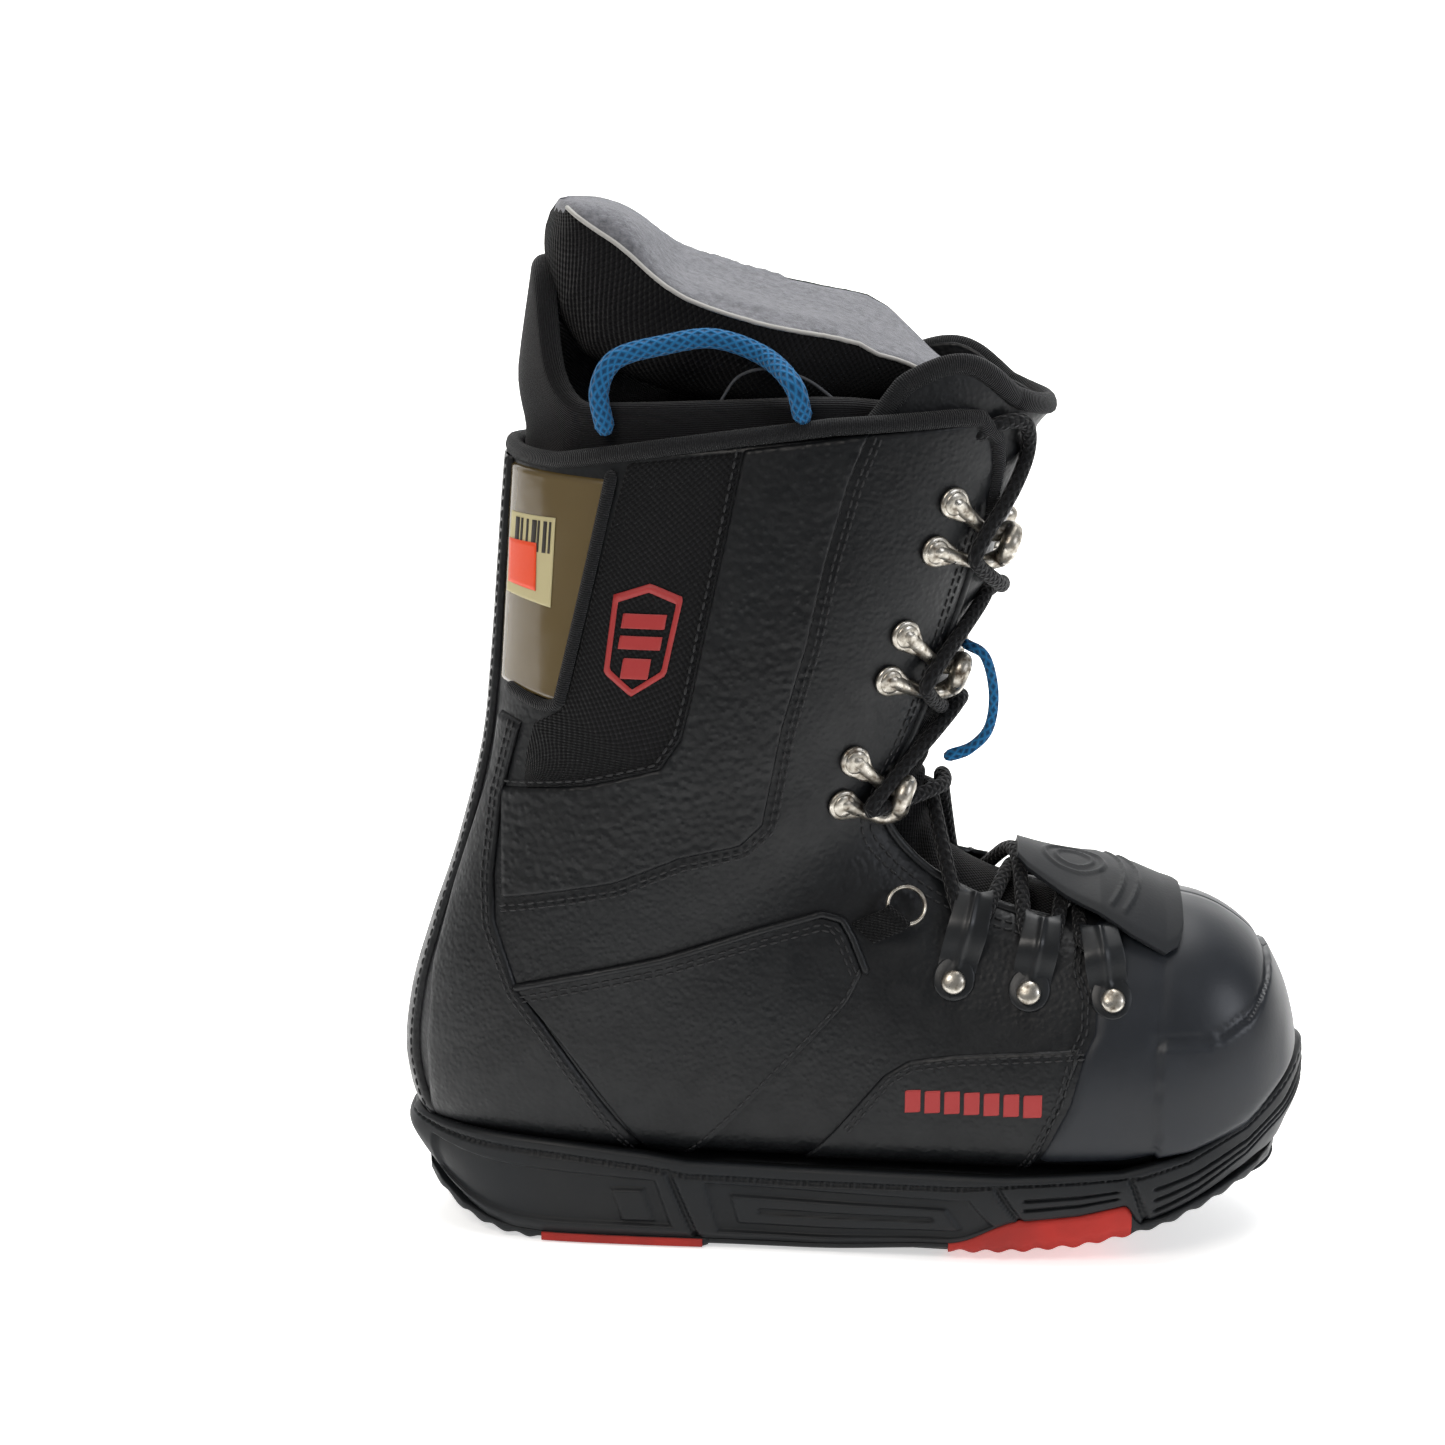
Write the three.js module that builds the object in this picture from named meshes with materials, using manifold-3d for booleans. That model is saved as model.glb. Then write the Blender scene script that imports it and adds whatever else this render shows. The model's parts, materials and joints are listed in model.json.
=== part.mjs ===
// A right snowboard boot: cupped rubber sole, lasted leather upper, soft liner and lace hardware.
// Millimetres, +X to the toe, +Y to the inner side of the foot, +Z up, origin on the ground.
import * as THREE from 'three';
import { mergeVertices } from 'three/addons/utils/BufferGeometryUtils.js';
import Module from 'manifold-3d';

const wasm = await Module();
wasm.setup();

// ---------- driving dimensions ----------
const GAP = 0.3;
const OUTSOLE_TOP = 8;
const MIDSOLE_TOP = 24.5;
const BOARD_TOP = 26.4;
const SHELL_WALL = 3;
const LINER_WALL = 7.4;
const TONGUE_WALL = 2.6;
const PANEL_WALL = 1.2;
const LACE_RADIUS = 2.1;
const LACE_HEIGHT = 2.8;
const WIRE_RADIUS = 1.5;
const LATERAL = -1;
const MEDIAL = 1;

// Stations of the upper from the toe tip to the liner's back: the profile point on the top or front
// (tx, tz), the one on the sole or back (bx, bz), and the half widths outside and inside.
const STATIONS = [
  [152.5, 60, 151.5, 46, 7, 7],
  [151, 74, 148, 36, 21, 22],
  [147, 88, 142, 30, 32, 34],
  [138, 103, 131, 28, 42, 44],
  [122, 113.5, 115, 28, 49, 50],
  [100, 117.5, 92, 28, 52, 51.5],
  [78, 119.5, 66, 28, 52.5, 49.5],
  [60, 123.5, 38, 28, 50, 45.5],
  [44, 130, 8, 28, 47.5, 43.5],
  [32, 138, -28, 28, 46, 43],
  [25, 147, -70, 28, 45, 43.5],
  [22, 156, -115, 28.5, 44.5, 44],
  [23, 164, -145, 36, 44.5, 44.5],
  [25, 172, -154.2, 55, 45, 45],
  [28, 181, -152.5, 80, 45.5, 45.5],
  [31, 191, -145, 106, 46, 46],
  [36, 206, -135, 135, 47.5, 47.5],
  [42, 225, -126, 170, 49, 49],
  [48, 243, -122.5, 200, 50, 50],
  [54, 262, -120, 230, 50.5, 50.5],
  [59, 276, -118, 255, 51, 51],
  [63, 286, -116.5, 271, 51, 51],
  [66, 295, -115, 286, 50.5, 50.5],
  [68, 304, -112.5, 306, 49.5, 49.5],
  [70, 313, -109.5, 326, 48, 48],
  [72, 322, -107, 343, 46, 46],
];
const RIM = 21;
const CAP_REAR = 5.3;
const THROAT = 5.9;
const ANKLE = 13.3;

// Plan outline of the sole from the heel to the toe: x, outer half width, inner half width.
const SOLE_PLAN = [
  [-156.5, 0, 0], [-154.5, 13, 13], [-149, 22, 22], [-139, 31, 31], [-124, 38, 38], [-100, 42.5, 42.5],
  [-70, 45, 44], [-40, 46.5, 44], [-10, 49, 44.5], [20, 53, 47.5], [50, 56.5, 53.5], [75, 57.3, 57.3],
  [100, 55.5, 56], [120, 48.5, 51], [135, 40, 43], [146, 29.5, 32], [152, 19, 21],
  [155.5, 8, 9], [156.5, 0, 0],
];
const FOXING_TOP = [
  [-157, 39], [-100, 37], [-70, 33.5], [-50, 30.5], [60, 30.5], [95, 33], [118, 37], [136, 43], [157, 53],
];

// ---------- surface of the upper ----------
const clamp = (x, lo, hi) => Math.min(hi, Math.max(lo, x));
const mix = (a, b, t) => a + (b - a) * t;
const rad = (deg) => (deg * Math.PI) / 180;

// Reads a table of [key, value...] rows by straight lines between the rows.
function table(rows, key, column = 1) {
  const k = clamp(key, rows[0][0], rows[rows.length - 1][0]);
  const i = Math.max(1, rows.findIndex((r) => r[0] >= k));
  return mix(rows[i - 1][column], rows[i][column], (k - rows[i - 1][0]) / (rows[i][0] - rows[i - 1][0]));
}

// A smooth curve through the stations, one column at a time.
function station(v, column) {
  const last = STATIONS.length - 1;
  const i = clamp(Math.floor(v), 0, last - 1);
  const f = clamp(v, 0, last) - i;
  const p = [-1, 0, 1, 2].map((k) => STATIONS[clamp(i + k, 0, last)][column]);
  const a = 2 * p[1];
  const b = p[2] - p[0];
  const c = 2 * p[0] - 5 * p[1] + 4 * p[2] - p[3];
  const d = -p[0] + 3 * p[1] - 3 * p[2] + p[3];
  return 0.5 * (a + b * f + c * f * f + d * f * f * f);
}

// Where along the chord a section is widest, and how boxy it is below and above that place.
const widest = (v) => table([[0, 0.45], [2, 0.36], [5, 0.28], [8, 0.28], [11, 0.38], [14, 0.5]], v);
const boxBelow = (v) => table([[0, 2.2], [2, 3], [4, 4], [9, 4], [11, 3], [13, 2.3]], v);
const boxAbove = (v) => table([[0, 2.2], [3, 2.4], [6, 2.1], [14, 2.2]], v);

// A point of the upper: v along the boot, angle from the sole or back (0) over the side to the
// front (180), side -1 outside and +1 inside, out = height above the surface.
function upper(v, angle, side, out = 0) {
  const t = [station(v, 0), station(v, 1)];
  const b = [station(v, 2), station(v, 3)];
  const length = Math.hypot(t[0] - b[0], t[1] - b[1]);
  const along = [(t[0] - b[0]) / length, (t[1] - b[1]) / length];
  const c = Math.cos(rad(angle));
  const s = Math.max(0, Math.sin(rad(angle)));
  const power = 2 / (c > 0 ? boxBelow(v) : boxAbove(v));
  const full = length + 2 * out;
  const w = widest(v);
  const reach = c > 0 ? w * (1 - c ** power) : w + (1 - w) * (-c) ** power;
  const d = reach * full - out;
  const nose = clamp(1 - v / 4, 0, 1);
  const half = station(v, side < 0 ? 4 : 5) + out;
  return new THREE.Vector3(
    b[0] + along[0] * d + out * nose,
    side * half * s ** power,
    b[1] + along[1] * d,
  );
}

// Finds v and the angle of the surface point that is seen from the side at x, z.
function locate(x, z) {
  const above = (v) => {
    const dx = station(v, 0) - station(v, 2);
    const dz = station(v, 1) - station(v, 3);
    return dx * (z - station(v, 3)) - dz * (x - station(v, 2));
  };
  let lo = 0;
  let hi = STATIONS.length - 1;
  for (let i = 0; i < 40; i += 1) {
    const mid = (lo + hi) / 2;
    if (above(mid) > 0) lo = mid;
    else hi = mid;
  }
  const v = (lo + hi) / 2;
  const length = Math.hypot(station(v, 0) - station(v, 2), station(v, 1) - station(v, 3));
  const t = Math.hypot(x - station(v, 2), z - station(v, 3)) / length;
  const w = widest(v);
  const c = t < w ? (1 - t / w) ** (boxBelow(v) / 2) : -(((t - w) / (1 - w)) ** (boxAbove(v) / 2));
  return { v, angle: (Math.acos(clamp(c, -1, 1)) * 180) / Math.PI };
}

// ---------- solids ----------
function geometryOf(points, faces) {
  const geometry = new THREE.BufferGeometry();
  const flat = points.flatMap((p) => [p.x, p.y, p.z]);
  geometry.setAttribute('position', new THREE.Float32BufferAttribute(flat, 3));
  geometry.setIndex(faces.flat());
  return outward(mergeVertices(geometry, 1e-4));
}

// Turns every face of a closed mesh round when its volume comes out negative.
function outward(geometry) {
  const p = geometry.attributes.position;
  const index = Array.from(geometry.index.array);
  let volume = 0;
  const [a, b, c] = [new THREE.Vector3(), new THREE.Vector3(), new THREE.Vector3()];
  for (let i = 0; i < index.length; i += 3) {
    a.fromBufferAttribute(p, index[i]);
    b.fromBufferAttribute(p, index[i + 1]);
    c.fromBufferAttribute(p, index[i + 2]);
    volume += a.dot(b.cross(c));
  }
  if (volume < 0) {
    for (let i = 0; i < index.length; i += 3) [index[i], index[i + 1]] = [index[i + 1], index[i]];
  }
  geometry.setIndex(index);
  return geometry;
}

// Joins a stack of equal closed loops, with a fan over the first and the last one.
function loft(loops) {
  const count = loops[0].length;
  const points = loops.flat();
  const faces = [];
  for (let j = 0; j < loops.length - 1; j += 1) {
    for (let i = 0; i < count; i += 1) {
      const a = j * count + i;
      const b = j * count + ((i + 1) % count);
      faces.push([a, b, b + count], [a, b + count, a + count]);
    }
  }
  const middle = (loop) => loop.reduce((m, p) => m.add(p), new THREE.Vector3()).divideScalar(count);
  const first = points.push(middle(loops[0])) - 1;
  const last = points.push(middle(loops[loops.length - 1])) - 1;
  const top = (loops.length - 1) * count;
  for (let i = 0; i < count; i += 1) {
    const n = (i + 1) % count;
    faces.push([first, n, i], [last, top + i, top + n]);
  }
  return geometryOf(points, faces);
}

// A sheet with two faces: outer(i, j) and inner(i, j) over a grid of columns and rows.
function sheet(columns, rows, outer, inner) {
  const loops = [];
  for (let j = 0; j < rows; j += 1) {
    const loop = [];
    for (let i = 0; i < columns; i += 1) loop.push(outer(i / (columns - 1), j / (rows - 1)));
    for (let i = columns - 1; i >= 0; i -= 1) loop.push(inner(i / (columns - 1), j / (rows - 1)));
    loops.push(loop);
  }
  const count = columns * 2;
  const points = loops.flat();
  const faces = [];
  for (let j = 0; j < rows - 1; j += 1) {
    for (let i = 0; i < count; i += 1) {
      const a = j * count + i;
      const b = j * count + ((i + 1) % count);
      faces.push([a, b, b + count], [a, b + count, a + count]);
    }
  }
  const top = (rows - 1) * count;
  for (let i = 0; i < columns - 1; i += 1) {
    const [p, q, r, s] = [i, i + 1, count - 2 - i, count - 1 - i];
    faces.push([q, p, s], [q, s, r], [top + p, top + q, top + r], [top + p, top + r, top + s]);
  }
  return geometryOf(points, faces);
}

// Signed angle -180..180 round the boot: negative outside, zero at the back, positive inside.
const around = (v, turn, out) => upper(v, Math.abs(turn), turn < 0 ? LATERAL : MEDIAL, out);

// A wall on the upper between v0 and v1, from -reach to +reach round the back.
function wall(v0, v1, reach, outside, inside, columns, rows) {
  const at = (out) => (i, j) => {
    const turn = mix(-1, 1, i);
    const span = typeof reach === 'function' ? reach(mix(v0, typeof v1 === 'function' ? RIM : v1, j)) : reach;
    const end = typeof v1 === 'function' ? v1(turn * span) : v1;
    return around(mix(v0, end, j), turn * span, out);
  };
  return sheet(columns, rows, at(outside), at(inside));
}

// A wall over the front of the boot: turn runs from +edge over 180 to -edge.
function frontWall(v0, v1, edge, outside, inside, columns, rows) {
  const at = (out) => (i, j) => {
    const turn = mix(edge, 360 - edge, i);
    const end = typeof v1 === 'function' ? v1(Math.abs(turn - 180)) : v1;
    const signed = turn > 180 ? turn - 360 : turn;
    return around(mix(v0, end, j), signed, typeof out === 'function' ? out(mix(v0, end, j)) : out);
  };
  return sheet(columns, rows, at(outside), at(inside));
}

// A full sleeve closed at the toe: outer loops down from v1 to the tip, then inner loops back.
function toeSleeve(v1, outside, inside, columns, rows, tip = 0) {
  const ring = (v, out) => {
    const loop = [];
    for (let i = 0; i < columns; i += 1) {
      const turn = (360 * i) / columns;
      loop.push(around(v, turn > 180 ? turn - 360 : turn, out));
    }
    return loop;
  };
  const vs = Array.from({ length: rows }, (_, j) => mix(tip, v1, (j / (rows - 1)) ** 1.3));
  const outerLoops = vs.map((v) => ring(v, outside));
  const innerLoops = vs.map((v) => ring(v, inside)).reverse();
  return loft([...outerLoops, ...innerLoops]);
}

// A flat patch on one side of the upper between four corners given in side view, x and z.
function sidePatch(corners, side, outside, inside, columns, rows) {
  const at = (out) => (i, j) => {
    const x = mix(mix(corners[0][0], corners[1][0], i), mix(corners[3][0], corners[2][0], i), j);
    const z = mix(mix(corners[0][1], corners[1][1], i), mix(corners[3][1], corners[2][1], i), j);
    const spot = locate(x, z);
    return upper(spot.v, spot.angle, side, out);
  };
  return sheet(columns, rows, at(outside), at(inside));
}

// A round cord along points, closed at both ends.
function cord(points, radius, steps, sides = 8, closed = false) {
  const curve = new THREE.CatmullRomCurve3(points, closed);
  const frames = curve.computeFrenetFrames(steps, closed);
  const loops = [];
  for (let j = 0; j <= steps; j += 1) {
    const p = curve.getPointAt(j / steps);
    const loop = [];
    for (let i = 0; i < sides; i += 1) {
      const a = (2 * Math.PI * i) / sides;
      loop.push(p.clone().addScaledVector(frames.normals[j], radius * Math.cos(a))
        .addScaledVector(frames.binormals[j], radius * Math.sin(a)));
    }
    loops.push(loop);
  }
  return loft(loops);
}

// A closed ring of round wire round a centre, in the plane of two directions.
function wireRing(centre, across, up, radius, wire) {
  const loops = 16;
  const sides = 6;
  const points = [];
  const faces = [];
  const normal = across.clone().cross(up).normalize();
  for (let j = 0; j < loops; j += 1) {
    const a = (2 * Math.PI * j) / loops;
    const spoke = across.clone().multiplyScalar(Math.cos(a)).addScaledVector(up, Math.sin(a));
    for (let i = 0; i < sides; i += 1) {
      const b = (2 * Math.PI * i) / sides;
      points.push(centre.clone().addScaledVector(spoke, radius + wire * Math.cos(b))
        .addScaledVector(normal, wire * Math.sin(b)));
      const n = ((j + 1) % loops) * sides;
      const k = (i + 1) % sides;
      faces.push([j * sides + i, j * sides + k, n + k], [j * sides + i, n + k, n + i]);
    }
  }
  return geometryOf(points, faces);
}

const vec = (x, y, z) => new THREE.Vector3(x, y, z);

// Plan outline of the sole, shrunk by inset, as loops at a height.
function soleLoop(inset, height) {
  const outerSide = SOLE_PLAN.map(([x, a]) => [x, -a]);
  const innerSide = SOLE_PLAN.slice(1, -1).reverse().map(([x, , b]) => [x, b]);
  const half = -SOLE_PLAN[0][0];
  return [...outerSide, ...innerSide].map(([x, y]) => {
    const across = Math.sign(y) * Math.max(0, Math.abs(y) - inset);
    const px = x * ((half - inset) / half);
    return vec(px, across, typeof height === 'function' ? height(px) : height);
  });
}

const slab = (inset, low, high) => loft([soleLoop(inset, low), soleLoop(inset, high)]);

// A straight prism from a plan outline.
function prism(outline, low, high) {
  const shape = new THREE.Shape(outline.map(([x, y]) => new THREE.Vector2(x, y)));
  const geometry = new THREE.ExtrudeGeometry(shape, { depth: high - low, bevelEnabled: false });
  geometry.translate(0, 0, low);
  return closed(geometry);
}

function closed(geometry) {
  const bare = geometry.index ? geometry.toNonIndexed() : geometry.clone();
  bare.deleteAttribute('normal');
  bare.deleteAttribute('uv');
  return outward(mergeVertices(bare, 1e-4));
}

function toManifold(geometry) {
  return new wasm.Manifold(new wasm.Mesh({
    numProp: 3,
    vertProperties: Float32Array.from(geometry.attributes.position.array),
    triVerts: Uint32Array.from(geometry.index.array),
  }));
}

function fromManifold(solid) {
  const mesh = solid.getMesh();
  const geometry = new THREE.BufferGeometry();
  geometry.setAttribute('position', new THREE.Float32BufferAttribute(Array.from(mesh.vertProperties), 3));
  geometry.setIndex(Array.from(mesh.triVerts));
  return geometry;
}

const cut = (body, ...tools) =>
  fromManifold(tools.reduce((s, t) => s.subtract(toManifold(t)), toManifold(body)));
const common = (a, b) => fromManifold(toManifold(a).intersect(toManifold(b)));

// ---------- assembly ----------
const boot = new THREE.Group();
boot.name = 'snowboard_boot';

const FINISH = {
  rubber: { color: 0x23272a, roughness: 0.65, metalness: 0 },
  red: { color: 0xd5362b, roughness: 0.6, metalness: 0 },
  blue: { color: 0x2f7fb5, roughness: 0.6, metalness: 0 },
  foam: { color: 0x3a3d40, roughness: 0.9, metalness: 0 },
  leather: { color: 0x1f2123, roughness: 0.5, metalness: 0 },
  fabric: { color: 0x17181a, roughness: 0.9, metalness: 0 },
  fleece: { color: 0x8f9095, roughness: 1, metalness: 0 },
  plastic: { color: 0x1b1e21, roughness: 0.4, metalness: 0 },
  vinyl: { color: 0x7a6a45, roughness: 0.2, metalness: 0 },
  card: { color: 0xd8cfa0, roughness: 0.8, metalness: 0 },
  metal: { color: 0xb8b2a6, roughness: 0.35, metalness: 1 },
};

function add(name, geometry, finish) {
  geometry.computeVertexNormals();
  const mesh = new THREE.Mesh(geometry, new THREE.MeshStandardMaterial(FINISH[finish]));
  mesh.name = name;
  boot.add(mesh);
}

// Sole: three rubber tread units and an arch plate under a foam midsole, in a rubber sidewall.
const HEEL_ZONE = [[-170, -80], [-52, -80], [-44, 80], [-170, 80]];
const TOE_ZONE = [[94, -80], [180, -80], [180, 80], [74, 80]];
const RED_ZONE = [[36, -80], [93.6, -80], [73.6, 80], [32, 80]];
const ARCH_ZONE = [[-51.6, -80], [35.6, -80], [31.6, 80], [-43.6, 80]];
const DISC = { x: -96, y: -4, r: 13.5 };

function buildSole() {
  const whole = slab(0.6, 0, OUTSOLE_TOP);
  const arch = slab(0.6, 4.5, OUTSOLE_TOP);
  const zone = (outline) => prism(outline, -1, OUTSOLE_TOP + 1);
  const well = new THREE.CylinderGeometry(DISC.r + GAP, DISC.r + GAP, 5, 24);
  well.rotateX(Math.PI / 2);
  well.translate(DISC.x, DISC.y, 2);
  add('outsole_heel', cut(common(whole, zone(HEEL_ZONE)), closed(well)), 'rubber');
  add('outsole_forefoot', common(whole, zone(TOE_ZONE)), 'rubber');
  add('outsole_red_band', common(whole, zone(RED_ZONE)), 'red');
  add('arch_plate', common(arch, zone(ARCH_ZONE)), 'rubber');
  const disc = new THREE.CylinderGeometry(DISC.r, DISC.r, 3, 24);
  disc.rotateX(Math.PI / 2);
  disc.translate(DISC.x, DISC.y, 2.6);
  add('heel_disc', closed(disc), 'blue');
  add('midsole', slab(7, OUTSOLE_TOP + GAP, MIDSOLE_TOP), 'foam');
  add('lasting_board', slab(8, MIDSOLE_TOP + GAP, BOARD_TOP), 'card');
  const rimLoop = soleLoop(0, (x) => table(FOXING_TOP, x));
  const side = loft([soleLoop(0.3, OUTSOLE_TOP + GAP), soleLoop(0, 12), rimLoop]);
  const hollow = slab(6.7, 2, BOARD_TOP + GAP);
  add('sole_sidewall', cut(side, toeSleeveSolid(2.8), hollow), 'rubber');
}

// The filled outer form of the foot, grown by out, used to hollow the sidewall.
function toeSleeveSolid(out) {
  const loops = [];
  for (let j = 0; j <= 30; j += 1) {
    const v = (RIM - 6) * (j / 30) ** 1.2;
    const loop = [];
    for (let i = 0; i < 28; i += 1) {
      const turn = (360 * i) / 28;
      loop.push(around(v, turn > 180 ? turn - 360 : turn, out));
    }
    loops.push(loop);
  }
  return loft(loops);
}

// Upper: toe cap, vamp, quarters, cuff, reinforcements, gusset and shell tongue.
const facing = (v) => table([[5.9, 150], [12, 150], [15, 158], [21, 158]], v);

function buildUpper() {
  add('toe_cap', toeSleeve(CAP_REAR, 0, -SHELL_WALL, 24, 9), 'rubber');
  const signed = (turn) => (turn > 180 ? turn - 360 : turn);
  const ring = (v, out) => Array.from({ length: 24 }, (_, i) => around(v, signed(i * 15), out));
  const vampStart = CAP_REAR + 0.03;
  const vampEnd = THROAT - 0.03;
  const outerRings = [ring(vampStart, 0), ring(vampEnd, 0)];
  const innerRings = [ring(vampEnd, -SHELL_WALL), ring(vampStart, -SHELL_WALL)];
  add('vamp', tubeBand(...outerRings, ...innerRings), 'leather');
  add('shell_lower', wall(THROAT, ANKLE - 0.02, facing, 0, -SHELL_WALL, 25, 16), 'leather');
  add('shell_cuff', wall(ANKLE + 0.02, RIM, facing, 0, -SHELL_WALL, 25, 14), 'leather');
  const skin = [2 * GAP + PANEL_WALL, 2 * GAP];
  const counterSkin = [3 * GAP + PANEL_WALL, 3 * GAP];
  const counterReach = (v) => table([[12.4, 62], [15.2, 40]], v);
  add('heel_counter', wall(12.4, 15.2, counterReach, ...counterSkin, 15, 11), 'leather');
  add('backstay', wall(15.28, RIM - 0.3, 17, ...skin, 5, 7), 'leather');
  const windowOuter = [[-116, 195], [-95.5, 188.5], [-79, 264], [-112, 266]];
  add('size_window', sidePatch(windowOuter, LATERAL, 3 * GAP + 1, 3 * GAP, 5, 9), 'vinyl');
  const inner = -SHELL_WALL - 3 * GAP;
  add('gusset', frontWall(6, 13.9, 133, inner, inner - 1.4, 7, 9), 'fabric');
  const tongueTop = (away) => 21.7 + 1.2 * clamp(away / 45, 0, 1) ** 2;
  add('shell_tongue', frontWall(13.96, tongueTop, 133, inner, inner - TONGUE_WALL, 9, 9), 'leather');
}

// A short full band from four rings: outer start, outer end, inner end, inner start.
function tubeBand(...rings) {
  const count = rings[0].length;
  const points = rings.flat();
  const faces = [];
  for (let k = 0; k < 4; k += 1) {
    for (let i = 0; i < count; i += 1) {
      const a = k * count + i;
      const b = k * count + ((i + 1) % count);
      const c = ((k + 1) % 4) * count + ((i + 1) % count);
      const d = ((k + 1) % 4) * count + i;
      faces.push([a, b, c], [a, c, d]);
    }
  }
  return geometryOf(points, faces);
}

// Liner: padded foot, padded cuff, tongue in two parts, footbed and pull loops.
const TONGUE_HINGE = { x: 34, z: 286 };

function buildLiner() {
  const outside = -SHELL_WALL - 5 * GAP;
  add('liner_foot', toeSleeve(7.9, outside - 1.8, outside - 6.3, 24, 12), 'fabric');
  const heights = [[0, 24.8], [14, 24.4], [24, 22.7], [38, 22.1], [105, 22.1], [127, 21.6]];
  const height = (turn) => table(heights, Math.abs(turn));
  const reach = (v) => table([[8, 120], [10, 128]], v);
  add('liner_cuff', wall(7.96, height, reach, outside, outside - LINER_WALL, 25, 15), 'fabric');
  add('footbed', slab(27, 42.5, 46), 'foam');
  const front = outside - 3.4;
  add('liner_tongue_base', frontWall(8.2, 20.6, 137, front, front - 9, 7, 10), 'fabric');
  add('liner_tongue', tongueLeaf(), 'fleece');
}

// The free upper leaf of the tongue: a dished pad that lies back over the opening.
function tongueLeaf() {
  const line = [[27, 297], [14, 303], [-6, 308.5], [-34, 315], [-62, 325], [-86, 339.5], [-101, 350]];
  const widths = [23, 30, 36, 36, 32, 26, 14];
  const belly = [[0, 8], [0.15, 14], [0.35, 19], [0.55, 18.5], [0.75, 11], [0.88, 5], [1, 4.2]];
  const curve = new THREE.CatmullRomCurve3(line.map(([x, z]) => vec(x, 0, z)));
  const at = (above) => (i, j) => {
    const p = curve.getPointAt(j);
    const tangent = curve.getTangentAt(j);
    const normal = vec(tangent.z, 0, -tangent.x);
    const k = j * (widths.length - 1);
    const half = table(widths.map((w, n) => [n, w]), k);
    const s = mix(-1, 1, i);
    const dish = 7 * s * s * (1 - 0.5 * j);
    const lift = above ? 5 + 7 * Math.exp(-(((j - 0.85) / 0.13) ** 2)) : -table(belly, j);
    const rise = lift * (1 - 0.8 * s * s) + dish;
    return p.clone().addScaledVector(normal, rise).add(vec(0, half * s, 0));
  };
  return sheet(9, 13, at(true), at(false));
}

// ---------- lace hardware ----------
// A local frame on the surface: origin, forward along the surface towards a second place, and up.
function surfaceFrame(from, to, side) {
  const spot = (p, out) => {
    const s = locate(p[0], p[1]);
    return upper(s.v, s.angle, side, out);
  };
  const origin = spot(from, 0);
  const up = spot([from[0], from[1]], 1);
  const a = spot([from[0] + 1, from[1]], 0).sub(origin);
  const b = spot([from[0], from[1] + 1], 0).sub(origin);
  const normal = a.cross(b).normalize();
  if (normal.dot(up.sub(origin)) < 0) normal.negate();
  const forward = spot(to, 0).sub(origin);
  forward.addScaledVector(normal, -forward.dot(normal)).normalize();
  const across = normal.clone().cross(forward).normalize();
  return new THREE.Matrix4().makeBasis(forward, across, normal).setPosition(origin);
}

const place = (geometry, matrix) => outward(closed(geometry.applyMatrix4(matrix)));

// Hook pads and the middle of the hook's nose, in side view: x, z.
const HOOKS = [
  { name: 'low', pads: [[0.5, 170.3], [-3.4, 155]], nose: [15.5, 158] },
  { name: 'middle', pads: [[16.8, 213.5], [11.7, 198]], nose: [31, 200.5] },
  { name: 'top', pads: [[32.2, 257.8], [26.5, 241.7]], nose: [45, 243.5] },
];
// Guide rivet and the far end of the guide, in side view.
const GUIDES = [
  { name: 'rear', rivet: [34.7, 95], end: [40, 122] },
  { name: 'middle', rivet: [60, 92], end: [64.5, 113] },
  { name: 'front', rivet: [88, 90], end: [82.5, 110.5] },
];
const RING = { x: 17, z: 118 };

function buildHook(hook, side, label) {
  const spot = (p, out) => {
    const s = locate(p[0], p[1]);
    return upper(s.v, s.angle, side, out);
  };
  const [a, b] = hook.pads;
  const n = hook.nose;
  const half = [(a[0] - b[0]) / 2, (a[1] - b[1]) / 2];
  const points = [
    spot(a, 2.2),
    spot([mix(a[0], n[0], 0.45), mix(a[1], n[1] + half[1] * 0.8, 0.45)], 3.6),
    spot([mix(a[0], n[0], 0.85), n[1] + half[1] * 0.7], 6.9),
    spot([n[0] + 1, n[1]], 7.8),
    spot([mix(b[0], n[0], 0.85) - 1, n[1] - half[1] * 0.7], 6.9),
    spot([mix(b[0], n[0], 0.45), mix(b[1], n[1] - half[1] * 0.8, 0.45)], 3.6),
    spot(b, 2.2),
  ];
  add(`hook_${hook.name}_${label}`, cord(points, WIRE_RADIUS, 16, 6), 'metal');
  hook.pads.forEach((pad, k) => {
    const dome = new THREE.LatheGeometry(
      [[0, 4.2], [4.2, 4.2], [4.2, 5], [3, 6], [0, 6.5]].map(([r, h]) => new THREE.Vector2(r, h)),
      10,
    );
    dome.rotateX(Math.PI / 2);
    const matrix = surfaceFrame(pad, [pad[0] + 5, pad[1]], side);
    add(`hook_rivet_${hook.name}_${k + 1}_${label}`, place(dome, matrix), 'metal');
  });
}

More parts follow.
